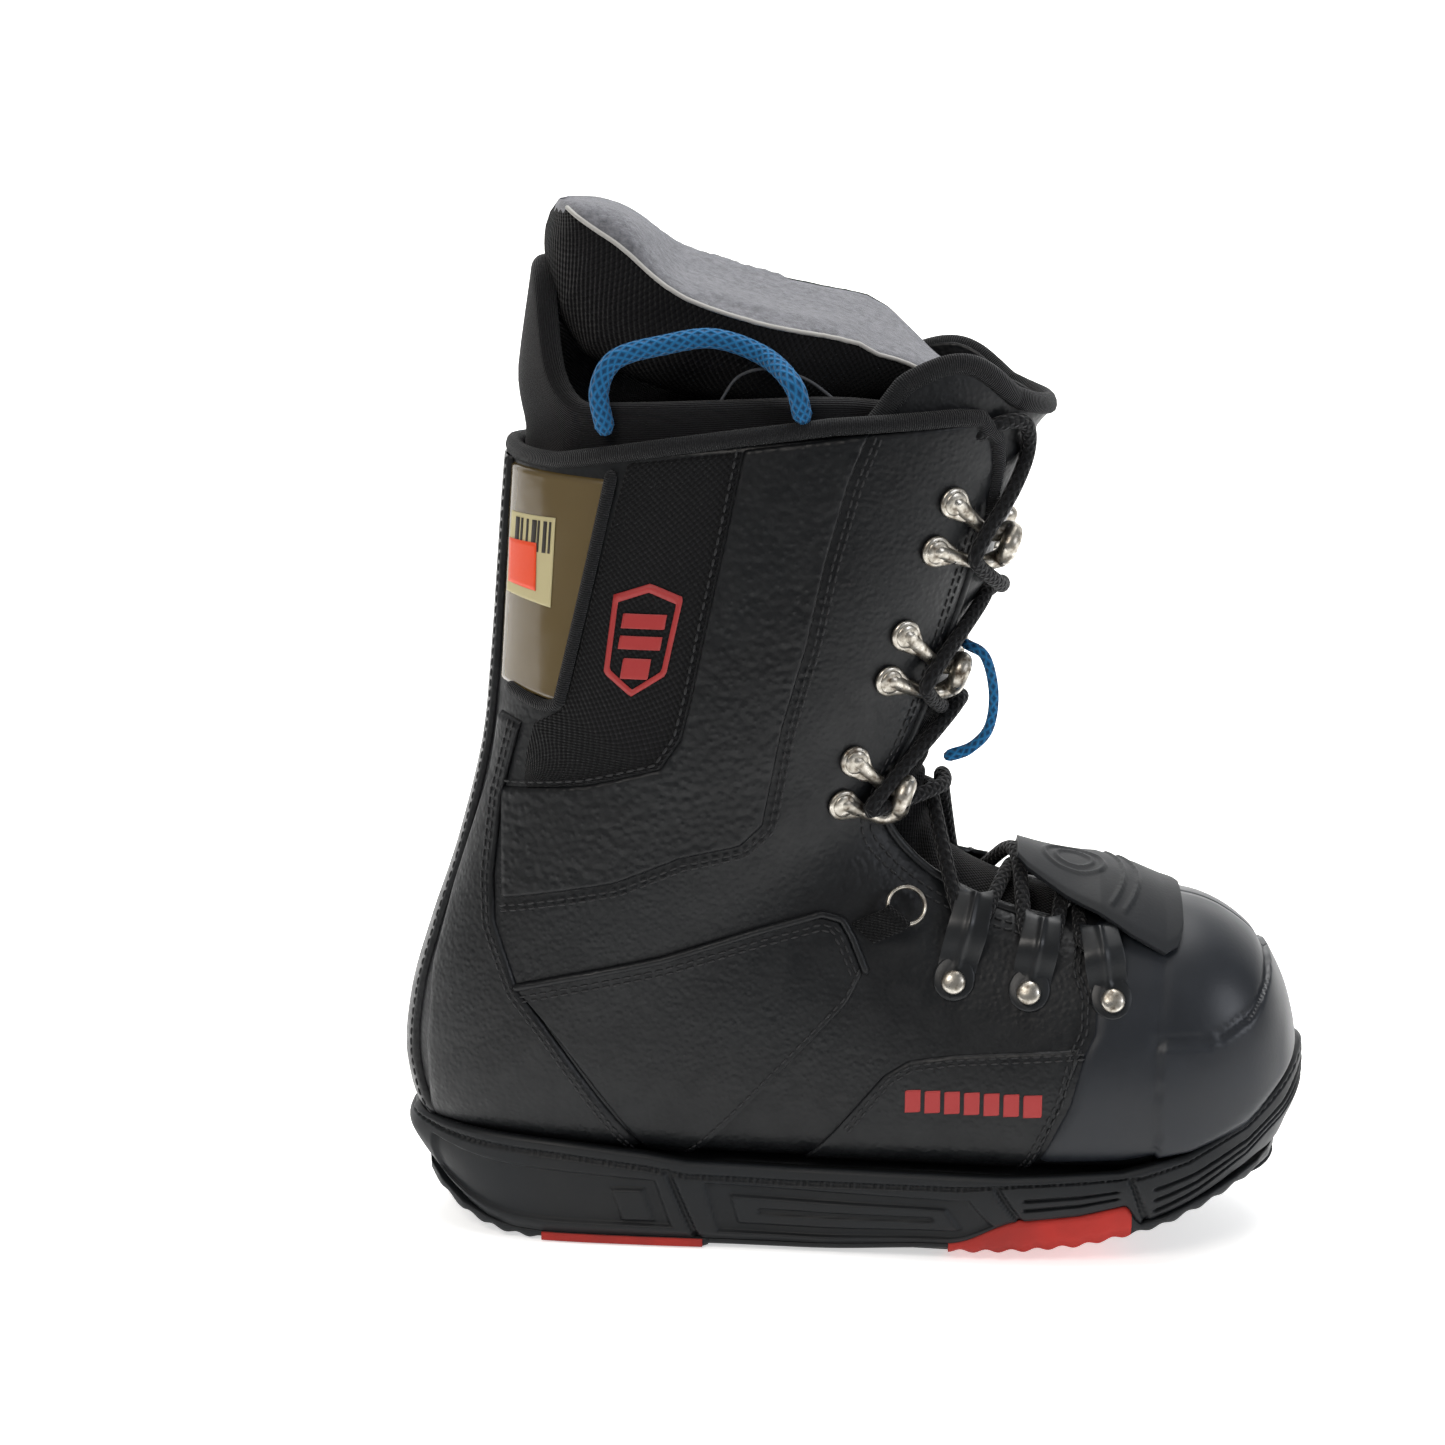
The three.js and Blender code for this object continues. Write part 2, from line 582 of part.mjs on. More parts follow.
function buildGuide(guide, side, label) {
  const matrix = surfaceFrame(guide.rivet, guide.end, side);
  const start = vec(0, 0, 0).applyMatrix4(matrix);
  const s = locate(guide.end[0], guide.end[1]);
  const reach = upper(s.v, s.angle, side, 0).sub(start).length();
  const strap = (out) => (i, j) => {
    const along = mix(-6, reach + 2.6, j);
    const step = clamp((along - reach * 0.3) / (reach * 0.5), 0, 1);
    const x = mix(guide.rivet[0], guide.end[0], along / reach);
    const z = mix(guide.rivet[1], guide.end[1], along / reach);
    const spotA = locate(x, z);
    const width = mix(6.6, 5.4, j);
    const centre = upper(spotA.v, spotA.angle, side, 0.6 + 6 * step * step * (3 - 2 * step) + out);
    const across = vec(0, 1, 0).transformDirection(matrix);
    return centre.addScaledVector(across, width * (2 * i - 1));
  };
  add(`lace_guide_${guide.name}_${label}`, sheet(3, 9, strap(1.8), strap(0)), 'plastic');
  const dome = new THREE.LatheGeometry(
    [[0, 0], [3.9, 0], [3.9, 0.6], [2.7, 1.7], [0, 2.1]].map(([r, h]) => new THREE.Vector2(r, h)),
    10,
  );
  dome.rotateX(Math.PI / 2);
  dome.translate(0, 0, 3.4);
  add(`guide_rivet_${guide.name}_${label}`, place(dome, matrix), 'metal');
}

function buildRing(side, label) {
  const s = locate(RING.x, RING.z);
  const centre = upper(s.v, s.angle, side, 5.2);
  const matrix = surfaceFrame([RING.x, RING.z], [RING.x + 5, RING.z + 5], side);
  const across = vec(1, 0, 0).transformDirection(matrix);
  const up = vec(0, 1, 0).transformDirection(matrix);
  add(`lace_ring_${label}`, wireRing(centre, across, up, 6.4, 0.9), 'metal');
}

// A strand of lace crosses the front from side to side, under every hook nose and guide.
function laceRoute(startSide, lift) {
  const stops = [...GUIDES.map((g) => g.end).reverse(), ...HOOKS.map((h) => h.nose)];
  const points = [];
  let side = startSide;
  stops.forEach((stop, k) => {
    const s = locate(stop[0], stop[1]);
    if (k > 0) {
      const before = locate(stops[k - 1][0], stops[k - 1][1]);
      const v = (s.v + before.v) / 2;
      points.push(upper(v, 180, side, lift));
    }
    points.push(upper(s.v - 0.12, s.angle, side, LACE_HEIGHT), upper(s.v + 0.12, s.angle, side, LACE_HEIGHT));
    side = -side;
  });
  return points;
}

function buildLaces() {
  add('lace_strand_a', cord(laceRoute(LATERAL, -0.9), LACE_RADIUS, 64, 6), 'fabric');
  add('lace_strand_b', cord(laceRoute(MEDIAL, 5.8), LACE_RADIUS, 64, 6), 'fabric');
}

// The rubber leaf over the lower laces, held at its rear edge.
function buildKeeper() {
  const line = [[57, 134.5], [72, 133.5], [88, 130.5], [102, 125.5], [112, 121]];
  const curve = new THREE.CatmullRomCurve3(line.map(([x, z]) => vec(x, 0, z)));
  const half = [[0, 12], [0.15, 16], [0.6, 23], [0.85, 22], [1, 15]];
  const at = (lift) => (i, j) => {
    const p = curve.getPointAt(j);
    const tangent = curve.getTangentAt(j);
    const s = mix(-1, 1, i);
    const normal = vec(-tangent.z, 0, tangent.x);
    return p.clone().addScaledVector(normal, lift - 3 * s * s).add(vec(0, table(half, j) * s, 0));
  };
  add('lace_keeper', sheet(7, 9, at(2.4), at(0)), 'rubber');
}

function buildLoops() {
  const foot = (x, z, out) => {
    const s = locate(x, z);
    return upper(s.v, s.angle, LATERAL, out);
  };
  const a = foot(-78, 290, 0.6);
  const b = foot(-16, 290, 0.6);
  const points = [
    a, vec(a.x + 1, a.y - 1, a.z + 9), vec(-68, a.y + 1, 307), vec(-52, a.y + 3, 312.5),
    vec(-34, a.y + 2, 308.5),
    vec(-21, b.y + 1, 300), vec(b.x, b.y, b.z),
  ];
  add('pull_loop', cord(points, 3.2, 22), 'blue');
  const hang = [
    vec(44, -12, 203), vec(50, -15, 196), vec(52, -17, 184), vec(47, -18, 172), vec(40, -17, 166),
  ];
  add('front_loop', cord(hang, 1.6, 12), 'blue');
}

buildSole();
buildUpper();
buildLiner();
for (const [side, label] of [[LATERAL, 'outer'], [MEDIAL, 'inner']]) {
  HOOKS.forEach((hook) => buildHook(hook, side, label));
  GUIDES.forEach((guide) => buildGuide(guide, side, label));
  buildRing(side, label);
}
buildLaces();
buildKeeper();
buildLoops();

export default boot;
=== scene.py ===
"""A right snowboard boot: leather shell, cupped rubber sole, wire lace hooks and a padded liner."""
import json
import math

import bpy
import numpy as np
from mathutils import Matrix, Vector
from mathutils.kdtree import KDTree

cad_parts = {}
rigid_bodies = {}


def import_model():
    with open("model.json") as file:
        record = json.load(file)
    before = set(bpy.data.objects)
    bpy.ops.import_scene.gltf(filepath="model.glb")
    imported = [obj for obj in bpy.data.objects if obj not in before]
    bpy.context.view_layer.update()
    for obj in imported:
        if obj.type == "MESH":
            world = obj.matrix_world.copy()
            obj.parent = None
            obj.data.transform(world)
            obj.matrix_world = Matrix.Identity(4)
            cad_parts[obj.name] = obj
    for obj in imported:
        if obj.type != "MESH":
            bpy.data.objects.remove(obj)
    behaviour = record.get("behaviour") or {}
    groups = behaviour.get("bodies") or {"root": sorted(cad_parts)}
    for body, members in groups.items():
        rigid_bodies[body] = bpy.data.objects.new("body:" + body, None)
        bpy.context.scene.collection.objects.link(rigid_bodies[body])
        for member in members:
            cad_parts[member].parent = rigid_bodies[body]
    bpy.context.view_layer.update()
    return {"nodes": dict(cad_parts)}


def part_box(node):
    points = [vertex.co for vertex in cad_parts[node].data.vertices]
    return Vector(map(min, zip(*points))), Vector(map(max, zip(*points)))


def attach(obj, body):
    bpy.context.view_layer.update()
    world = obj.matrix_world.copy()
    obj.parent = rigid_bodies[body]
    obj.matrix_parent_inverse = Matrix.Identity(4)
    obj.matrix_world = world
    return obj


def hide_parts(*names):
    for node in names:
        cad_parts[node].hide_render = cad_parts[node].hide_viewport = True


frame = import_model()

MM = 0.001
OUTER, INNER = -1.0, 1.0        # the side away from the other foot, and the side next to it
SIDES = ((OUTER, "outer"), (INNER, "inner"))
RIM = 21.0                      # station of the shell's top edge
SHELL_WALL = 3.0
LACE_RADIUS = 2.6

# Stations of the upper from the toe tip to the liner's back, in millimetres: the profile point on
# the top or front (x, z), the one on the sole or back (x, z), and the half widths outside and inside.
STATIONS = np.array([
    (152.5, 60, 151.5, 46, 7, 7), (151, 74, 148, 36, 21, 22), (147, 88, 142, 30, 32, 34),
    (138, 103, 131, 28, 42, 44), (122, 113.5, 115, 28, 49, 50), (100, 117.5, 92, 28, 52, 51.5),
    (78, 119.5, 66, 28, 52.5, 49.5), (60, 123.5, 38, 28, 50, 45.5), (44, 130, 8, 28, 47.5, 43.5),
    (32, 138, -28, 28, 46, 43), (25, 147, -70, 28, 45, 43.5), (22, 156, -115, 28.5, 44.5, 44),
    (23, 164, -145, 36, 44.5, 44.5), (25, 172, -154.2, 55, 45, 45), (28, 181, -152.5, 80, 45.5, 45.5),
    (31, 191, -145, 106, 46, 46), (36, 206, -135, 135, 47.5, 47.5), (42, 225, -126, 170, 49, 49),
    (48, 243, -122.5, 200, 50, 50), (54, 262, -120, 230, 50.5, 50.5), (59, 276, -118, 255, 51, 51),
    (63, 286, -116.5, 271, 51, 51), (66, 295, -115, 286, 50.5, 50.5), (68, 304, -112.5, 306, 49.5, 49.5),
    (70, 313, -109.5, 326, 48, 48), (72, 322, -107, 343, 46, 46),
], float)
LAST = len(STATIONS) - 1.0


# ---------- curves and surfaces ----------
def cubic(p, i, f):
    """The curve between points i + 1 and i + 2, at the share f: the cubic that meets both, with a slope
    at each of half the step between its two neighbours."""
    a, b, c, d = p[i], p[i + 1], p[i + 2], p[i + 3]
    return 0.5 * (2 * b + (c - a) * f + (2 * a - 5 * b + 4 * c - d) * f**2 + (3 * b - a - 3 * c + d) * f**3)


def smooth(points, count, closed=False):
    """A smooth curve through the points, returned as count points, evenly spaced along it."""
    p = np.asarray(points, float)
    if closed:
        p = np.vstack([p[-1], p, p[0], p[1]])
    else:
        p = np.vstack([2 * p[0] - p[1], p, 2 * p[-1] - p[-2]])
    k = np.linspace(0, len(p) - 3, 24 * (len(p) - 3) + 1)
    i = np.minimum(k.astype(int), len(p) - 4)
    return even(cubic(p, i, (k - i)[:, None]), count)


def even(points, count):
    """The same line with count points, evenly spaced along its length."""
    p = np.asarray(points, float)
    s = np.concatenate([[0], np.cumsum(np.linalg.norm(np.diff(p, axis=0), axis=1))])
    t = np.linspace(0, s[-1], count)
    return np.stack([np.interp(t, s, p[:, k]) for k in range(p.shape[1])], 1)


def _dense_stations():
    """The station table filled in by the smooth curve, 100 rows to a station."""
    p = np.vstack([STATIONS[0], STATIONS, STATIONS[-1]])
    k = np.linspace(0, LAST, int(LAST) * 100 + 1)
    i = np.minimum(k.astype(int), int(LAST) - 1)
    return k, cubic(p, i, (k - i)[:, None])


DENSE_KEY, DENSE = _dense_stations()


def station(v, column):
    return np.interp(v, DENSE_KEY, DENSE[:, column])


def widest(v):
    return np.interp(v, [0, 2, 5, 8, 11, 14], [0.45, 0.36, 0.28, 0.28, 0.38, 0.5])


def box_below(v):
    return np.interp(v, [0, 2, 4, 9, 11, 13], [2.2, 3, 4, 4, 3, 2.3])


def box_above(v):
    return np.interp(v, [0, 3, 6, 14], [2.2, 2.4, 2.1, 2.2])


def upper(v, turn, out=0.0):
    """Points of the upper. v runs along the boot by stations, turn is the angle round a section, 0 at
    the sole or back, 180 at the top or front, negative on the outer side. out is the height above the
    leather. A section is a super-ellipse in two halves between its profile points."""
    v, turn, out = np.broadcast_arrays(np.asarray(v, float), np.asarray(turn, float), np.asarray(out, float))
    turn = np.where(turn > 180, turn - 360, turn)
    tx, tz, bx, bz = (station(v, k) for k in range(4))
    length = np.hypot(tx - bx, tz - bz)
    ax, az = (tx - bx) / length, (tz - bz) / length
    c = np.cos(np.radians(turn))
    s = np.abs(np.sin(np.radians(turn)))
    power = 2 / np.where(c > 0, box_below(v), box_above(v))
    w = widest(v)
    reach = np.where(c > 0, w * (1 - np.abs(c) ** power), w + (1 - w) * np.abs(c) ** power)
    d = reach * (length + 2 * out) - out
    nose = np.clip(1 - v / 4, 0, 1)
    half = np.where(turn < 0, station(v, 4), station(v, 5)) + out
    return np.stack([bx + ax * d + out * nose, np.sign(turn) * half * s**power, bz + az * d], -1)


def locate(xz):
    """Station and turn (0 to 180) of the place that the side view shows at x, z."""
    x, z = np.asarray(xz, float)[..., 0], np.asarray(xz, float)[..., 1]
    low, high = np.zeros_like(x), np.full_like(x, LAST)
    for _ in range(36):
        mid = (low + high) / 2
        dx, dz = station(mid, 0) - station(mid, 2), station(mid, 1) - station(mid, 3)
        above = dx * (z - station(mid, 3)) - dz * (x - station(mid, 2)) > 0
        low, high = np.where(above, mid, low), np.where(above, high, mid)
    v = (low + high) / 2
    length = np.hypot(station(v, 0) - station(v, 2), station(v, 1) - station(v, 3))
    t = np.hypot(x - station(v, 2), z - station(v, 3)) / length
    w = widest(v)
    below = np.clip(1 - t / w, 0, 1) ** (box_below(v) / 2)
    above = -np.clip((t - w) / (1 - w), 0, 1) ** (box_above(v) / 2)
    return v, np.degrees(np.arccos(np.where(t < w, below, above)))


def on_side(xz, side, out=0.0):
    """Surface points of one side above the places x, z of the side view."""
    v, turn = locate(xz)
    return upper(v, side * turn, out)


def side_normal(xz, side):
    """Unit normals of the upper, out of the boot, by small steps in x and z."""
    xz = np.asarray(xz, float)
    a = on_side(xz + [0.5, 0], side) - on_side(xz - [0.5, 0], side)
    b = on_side(xz + [0, 0.5], side) - on_side(xz - [0, 0.5], side)
    return unit(np.cross(a, b) * -side)


def ease(x):
    """A smooth step from 0 to 1."""
    x = np.clip(x, 0, 1)
    return x * x * (3 - 2 * x)


def unit(rows):
    """Each row at a length of 1."""
    return rows / np.linalg.norm(rows, axis=-1, keepdims=True)


def tangents(path):
    """Unit directions along a path."""
    return unit(np.gradient(path, axis=0))


def circle(count):
    """Angles of a full turn in count equal steps."""
    return np.linspace(0, 2 * math.pi, count, endpoint=False)


def ring_of(corners, count):
    """A closed outline of count points, evenly spaced between its corners."""
    return even([*corners, corners[0]], count + 1)[:-1]


# ---------- meshes ----------
def make(name, points, faces, uv=None, flat=False):
    """A mesh object from points in millimetres. uv holds one pair for each corner, in centimetres."""
    mesh = bpy.data.meshes.new(name)
    mesh.from_pydata((np.asarray(points, float) * MM).tolist(), [], [list(map(int, f)) for f in faces])
    mesh.update()
    if uv is not None:
        layer = mesh.uv_layers.new(name="UVMap")
        layer.data.foreach_set("uv", np.asarray(uv, np.float32).ravel())
    mesh.polygons.foreach_set("use_smooth", np.full(len(mesh.polygons), not flat))
    piece = bpy.data.objects.new(name, mesh)
    bpy.context.scene.collection.objects.link(piece)
    return piece


def faces_in(p, wrap):
    """True when a grid's faces look inwards: for a wrapped form by its volume, for a skin by how its
    faces lean away from the boot's middle plane."""
    q = np.concatenate([p, p[:, :1]], 1) if wrap else p
    centre = (q[1:, 1:] + q[:-1, :-1]) / 2
    normal = np.cross(q[1:, 1:] - q[:-1, :-1], q[1:, :-1] - q[:-1, 1:])
    middle = centre.mean((0, 1)) if wrap else np.array([0, 0, 0])
    weight = np.array([1, 1, 1]) if wrap else np.array([0, 1, 0])
    return float((normal * (centre - middle) * weight).sum()) < 0


def grid(name, p, wrap=False, close_start=False, close_end=False, flip=None):
    """A surface from a grid of points, rows by columns. wrap joins the last column to the first, and
    close_start and close_end put a fan over the first and the last row. UVs are the lengths along
    the rows and the columns, in centimetres. Its faces look outwards unless flip says otherwise."""
    rows, columns = p.shape[:2]
    if flip is None:
        flip = faces_in(p, wrap)
    across = np.linalg.norm(np.diff(p, axis=1), axis=2).mean(0)
    u = np.concatenate([[0], np.cumsum(across)])
    if wrap:
        u = np.append(u, u[-1] + np.linalg.norm(p[:, 0] - p[:, -1], axis=1).mean())
    along = np.concatenate([[0], np.cumsum(np.linalg.norm(np.diff(p, axis=0), axis=2).mean(1))])
    last = columns if wrap else columns - 1
    i, j = np.meshgrid(np.arange(last), np.arange(rows - 1))
    i, j = i.ravel(), j.ravel()
    n = (i + 1) % columns
    faces = np.stack([j * columns + i, j * columns + n, (j + 1) * columns + n, (j + 1) * columns + i], 1)
    corner = np.stack([
        np.stack([u[i], along[j]], 1), np.stack([u[i + 1], along[j]], 1),
        np.stack([u[i + 1], along[j + 1]], 1), np.stack([u[i], along[j + 1]], 1)], 1) / 10
    if flip:
        faces, corner = faces[:, ::-1], corner[:, ::-1]
    points = p.reshape(-1, 3)
    faces, corners = faces.tolist(), corner.reshape(-1, 2).tolist()
    for wanted, row, forward in ((close_start, 0, False), (close_end, rows - 1, True)):
        if not wanted:
            continue
        ring = np.arange(columns) + row * columns
        points = np.vstack([points, p[row].mean(0)])
        middle = len(points) - 1
        for a, b in zip(ring, np.roll(ring, -1)):
            face = [middle, a, b] if forward != flip else [middle, b, a]
            faces.append(face)
            corners += [(0, 0)] * 3
    return make(name, points, faces, np.asarray(corners))


def thicken(piece, wall, offset=-1.0, bevel=0.0):
    """Gives a sheet its wall, in millimetres, and rounds its rim."""
    solid = piece.modifiers.new("wall", "SOLIDIFY")
    solid.thickness = wall * MM
    solid.offset = offset
    solid.use_even_offset = False
    if bevel:
        rim = piece.modifiers.new("rim", "BEVEL")
        rim.width = bevel * MM
        rim.segments = 2
        rim.limit_method = "ANGLE"
        rim.angle_limit = math.radians(50)
    return piece


def frames(path, up=None):
    """Tangents and two cross directions along a path, carried without twist."""
    p = np.asarray(path, float)
    t = tangents(p)
    if up is not None:
        n = unit(up - t * np.sum(up * t, 1, keepdims=True))
        return t, n, np.cross(t, n)
    first = np.array([0, 0, 1.0]) if abs(t[0, 2]) < 0.9 else np.array([1.0, 0, 0])
    normals = [first - t[0] * first.dot(t[0])]
    for k in range(1, len(p)):
        n = normals[-1] - t[k] * normals[-1].dot(t[k])
        normals.append(n / np.linalg.norm(n))
    n = unit(np.array(normals))
    return t, n, np.cross(t, n)


def tube(name, path, radius, sides=12, up=None, flat=1.0):
    """A cord along a path: a circle, or an ellipse flattened along up, carried square to the path.
    Its ends are closed by domes."""
    p = np.asarray(path, float)
    t, n, b = frames(p, up)
    r = np.broadcast_to(np.asarray(radius, float), (len(p),)).copy()
    tip = float(r[0])
    before = [p[0] - t[0] * tip, p[0] - t[0] * tip * 0.8]
    after = [p[-1] + t[-1] * tip * 0.8, p[-1] + t[-1] * tip]
    p = np.vstack([*before, p, *after])
    n, b = (np.vstack([q[:1], q[:1], q, q[-1:], q[-1:]]) for q in (n, b))
    r = np.concatenate([[tip * 0.12, tip * 0.6], r, [r[-1] * 0.6, r[-1] * 0.12]])
    a = circle(sides)
    ring = (np.cos(a)[None, :, None] * n[:, None] * flat + np.sin(a)[None, :, None] * b[:, None])
    return grid(name, p[:, None] + ring * r[:, None, None], wrap=True, close_start=True, close_end=True)


def copies(name, shape, faces, places, axes, flat=False):
    """Many copies of a small shape in one mesh. places are their origins and axes their three
    directions, one 3 by 3 block each, so a copy's points are origin + shape times its directions."""
    shape = np.asarray(shape, float)
    points = places[:, None] + np.einsum("kj,njd->nkd", shape, axes)
    count = len(shape)
    first = np.arange(len(places))[:, None] * count
    joined = [row for face in faces for row in (first + np.asarray(face)).tolist()]
    return make(name, points.reshape(-1, 3), joined, flat=flat)


def lathe_shape(profile, sides):
    """Points and faces of a turned shape. profile is a list of radius and height, from its foot to
    its tip, where the tip closes on the axis."""
    profile = np.asarray(profile, float)
    a = circle(sides)
    ring = np.stack([np.cos(a), np.sin(a)], 1)
    points = np.concatenate([np.column_stack([ring * r, np.full(sides, h)]) for r, h in profile])
    points = np.vstack([points, [0, 0, profile[0, 1]], [0, 0, profile[-1, 1]]])
    faces = []
    for j in range(len(profile) - 1):
        for i in range(sides):
            n = (i + 1) % sides
            faces.append([j * sides + i, j * sides + n, (j + 1) * sides + n, (j + 1) * sides + i])
    top = (len(profile) - 1) * sides
    foot, tip = len(points) - 2, len(points) - 1
    for i in range(sides):
        n = (i + 1) % sides
        faces.append([foot, n, i])
        faces.append([tip, top + i, top + n])
    return points, faces


def stacked(name, ring, levels, place, axes):
    """A closed form standing on the surface: copies of a ring, each scaled and at its height."""
    p = np.array([(ring * [k, k, 0] + [0, 0, h]) @ axes + place for k, h in levels])
    return grid(name, p, wrap=True, close_start=True, close_end=True)


def join(name, pieces):
    """Joins pieces into one mesh."""
    for piece in bpy.context.view_layer.objects:
        piece.select_set(False)
    for piece in pieces:
        piece.select_set(True)
    bpy.context.view_layer.objects.active = pieces[0]
    bpy.ops.object.join()
    pieces[0].name = name
    pieces[0].data.name = name
    return pieces[0]


# ---------- materials ----------
def linear(value):
    """A linear colour from an sRGB hex string."""
    parts = [int(value[k:k + 2], 16) / 255 for k in (1, 3, 5)]
    return [c / 12.92 if c <= 0.04045 else ((c + 0.055) / 1.055) ** 2.4 for c in parts] + [1.0]


def add_node(tree, kind, inputs=None, **settings):
    """Adds a node, with its settings, and its inputs as values or as links from other nodes."""
    node = tree.nodes.new(kind)
    for key, value in settings.items():
        setattr(node, key, value)
    for key, value in (inputs or {}).items():
        if isinstance(value, bpy.types.NodeSocket):
            tree.links.new(value, node.inputs[key])
        else:
            node.inputs[key].default_value = value
    return node


def start(name, colour, roughness, **sockets):
    """A new material with its shader: the colour and every constant are set on the shader itself."""
    material = bpy.data.materials.new(name)
    material.use_nodes = True
    tree = material.node_tree
    shader = tree.nodes["Principled BSDF"]
    shader.inputs["Base Color"].default_value = linear(colour)
    shader.inputs["Roughness"].default_value = roughness
    for key, value in sockets.items():
        shader.inputs[key.replace("_", " ")].default_value = value
    return material, tree, shader


def colours(tree, factor, stops):
    """A colour ramp between sRGB hex colours at the given places."""
    ramp = add_node(tree, "ShaderNodeValToRGB", {"Fac": factor})
    band = ramp.color_ramp
    while len(band.elements) < len(stops):
        band.elements.new(0.5)
    for element, (place, colour) in zip(band.elements, stops):
        element.position = place
        element.color = linear(colour)
    return ramp.outputs["Color"]


def spread(tree, value, low, high, to_low, to_high):
    """A value's range stretched to another range."""
    node = add_node(tree, "ShaderNodeMapRange", {
        "Value": value, "From Min": low, "From Max": high, "To Min": to_low, "To Max": to_high})
    return node.outputs["Result"]


def bump(tree, shader, height, depth):
    """Raises the surface by a height pattern, depth millimetres deep."""
    node = add_node(tree, "ShaderNodeBump", {"Height": height, "Distance": depth * MM, "Strength": 1.0})
    tree.links.new(node.outputs["Normal"], shader.inputs["Normal"])


def math_node(tree, operation, a, b=None):
    inputs = {0: a} if b is None else {0: a, 1: b}
    return add_node(tree, "ShaderNodeMath", inputs, operation=operation).outputs[0]


def noise(tree, size, detail, **more):
    """Cloudy noise fixed to the object, with patches of the given size in millimetres."""
    place = add_node(tree, "ShaderNodeTexCoord").outputs["Object"]
    inputs = {"Vector": place, "Scale": 1000 / size, "Detail": detail, **more}
    return add_node(tree, "ShaderNodeTexNoise", inputs).outputs["Fac"]


def tint(tree, shader, factor, stops):
    """Colours the shader by a ramp over the factor."""
    tree.links.new(colours(tree, factor, stops), shader.inputs["Base Color"])


def roughen(tree, shader, value, low, high, to_low, to_high):
    """Varies the shader's roughness with a value."""
    tree.links.new(spread(tree, value, low, high, to_low, to_high), shader.inputs["Roughness"])


def leather(name, colour, dark, grain, depth, roughness):
    """Corrected grain leather, black, embossed and finished with a satin coat: soft wide highlights
    broken by pebbles of the grain size, with faint creases."""
    material, tree, shader = start(name, colour, roughness, Specular_IOR_Level=0.3)
    place = add_node(tree, "ShaderNodeTexCoord").outputs["Object"]
    pebble = add_node(tree, "ShaderNodeTexVoronoi", {"Vector": place, "Scale": 1000 / grain},
                      feature="SMOOTH_F1").outputs["Distance"]
    crease = noise(tree, 9.0, 5.0, Distortion=0.6)
    cloud = noise(tree, 45.0, 3.0)
    tint(tree, shader, spread(tree, cloud, 0.3, 0.7, 0.0, 1.0), [(0.0, dark), (1.0, colour)])
    roughen(tree, shader, crease, 0.3, 0.7, roughness - 0.07, roughness + 0.1)
    pits, folds = math_node(tree, "MULTIPLY", pebble, -1.0), math_node(tree, "MULTIPLY", crease, 0.8)
    bump(tree, shader, math_node(tree, "ADD", pits, folds), depth)
    return material


def moulded(name, colour, dark, roughness, grain=1.6, depth=0.05, **sockets):
    """Compression moulded rubber: even satin colour, fine spark texture from the mould, faint dusty
    patches at random."""
    material, tree, shader = start(name, colour, roughness, **sockets)
    cloud = noise(tree, 30.0, 4.0)
    tint(tree, shader, spread(tree, cloud, 0.35, 0.7, 0.0, 1.0), [(0.0, dark), (1.0, colour)])
    roughen(tree, shader, cloud, 0.3, 0.7, roughness - 0.06, roughness + 0.08)
    bump(tree, shader, noise(tree, grain, 3.0), depth)
    return material


def uv_parts(tree):
    """The piece's own UVs, split in two. Outputs X and Y are centimetres across and along."""
    uv = add_node(tree, "ShaderNodeUVMap").outputs["UV"]
    return add_node(tree, "ShaderNodeSeparateXYZ", {"Vector": uv}).outputs


def waves_per(period):
    """The factor that turns centimetres into an angle with the period in millimetres."""
    return 20 * math.pi / period


def woven(name, colour, dark, across, along, depth, roughness, sheen=0.2):
    """Plain woven or ribbed cloth on the piece's own UVs: threads across and along, so the weave
    follows the surface. Periods are in millimetres, and 0 leaves one direction out."""
    material, tree, shader = start(name, colour, roughness, Sheen_Weight=sheen, Sheen_Roughness=0.5,
                                   Specular_IOR_Level=0.15)
    parts = uv_parts(tree)
    height = None
    for axis, period in (("X", across), ("Y", along)):
        if not period:
            continue
        turn = math_node(tree, "MULTIPLY", parts[axis], waves_per(period))
        wave = math_node(tree, "SINE", turn)
        height = wave if height is None else math_node(tree, "MULTIPLY", height, wave)
    if not (across and along):
        height = math_node(tree, "ABSOLUTE", height)
    fuzz = noise(tree, 1.2, 2.0)
    threads, hairs = spread(tree, height, -1.0, 1.0, 0.0, 0.8), math_node(tree, "MULTIPLY", fuzz, 0.25)
    tint(tree, shader, math_node(tree, "ADD", threads, hairs), [(0.1, dark), (0.9, colour)])
    bump(tree, shader, math_node(tree, "ADD", height, fuzz), depth)
    return material


def braid(name, colour, dark, strand, depth):
    """Round braid on a cord's own UVs: two sets of slanting strands that cross."""
    material, tree, shader = start(name, colour, 0.8, Sheen_Weight=0.1, Sheen_Roughness=0.45,
                                   Specular_IOR_Level=0.2)
    parts = uv_parts(tree)
    waves = []
    for sign in (1.0, -1.0):
        round_cord = math_node(tree, "MULTIPLY", parts["X"], waves_per(strand))
        along_cord = math_node(tree, "MULTIPLY", parts["Y"], sign * waves_per(strand * 1.5))
        waves.append(math_node(tree, "SINE", math_node(tree, "ADD", round_cord, along_cord)))
    height = math_node(tree, "MAXIMUM", *waves)
    tint(tree, shader, spread(tree, height, -0.6, 1.0, 0.0, 1.0), [(0.0, dark), (1.0, colour)])
    bump(tree, shader, height, depth)
    return material


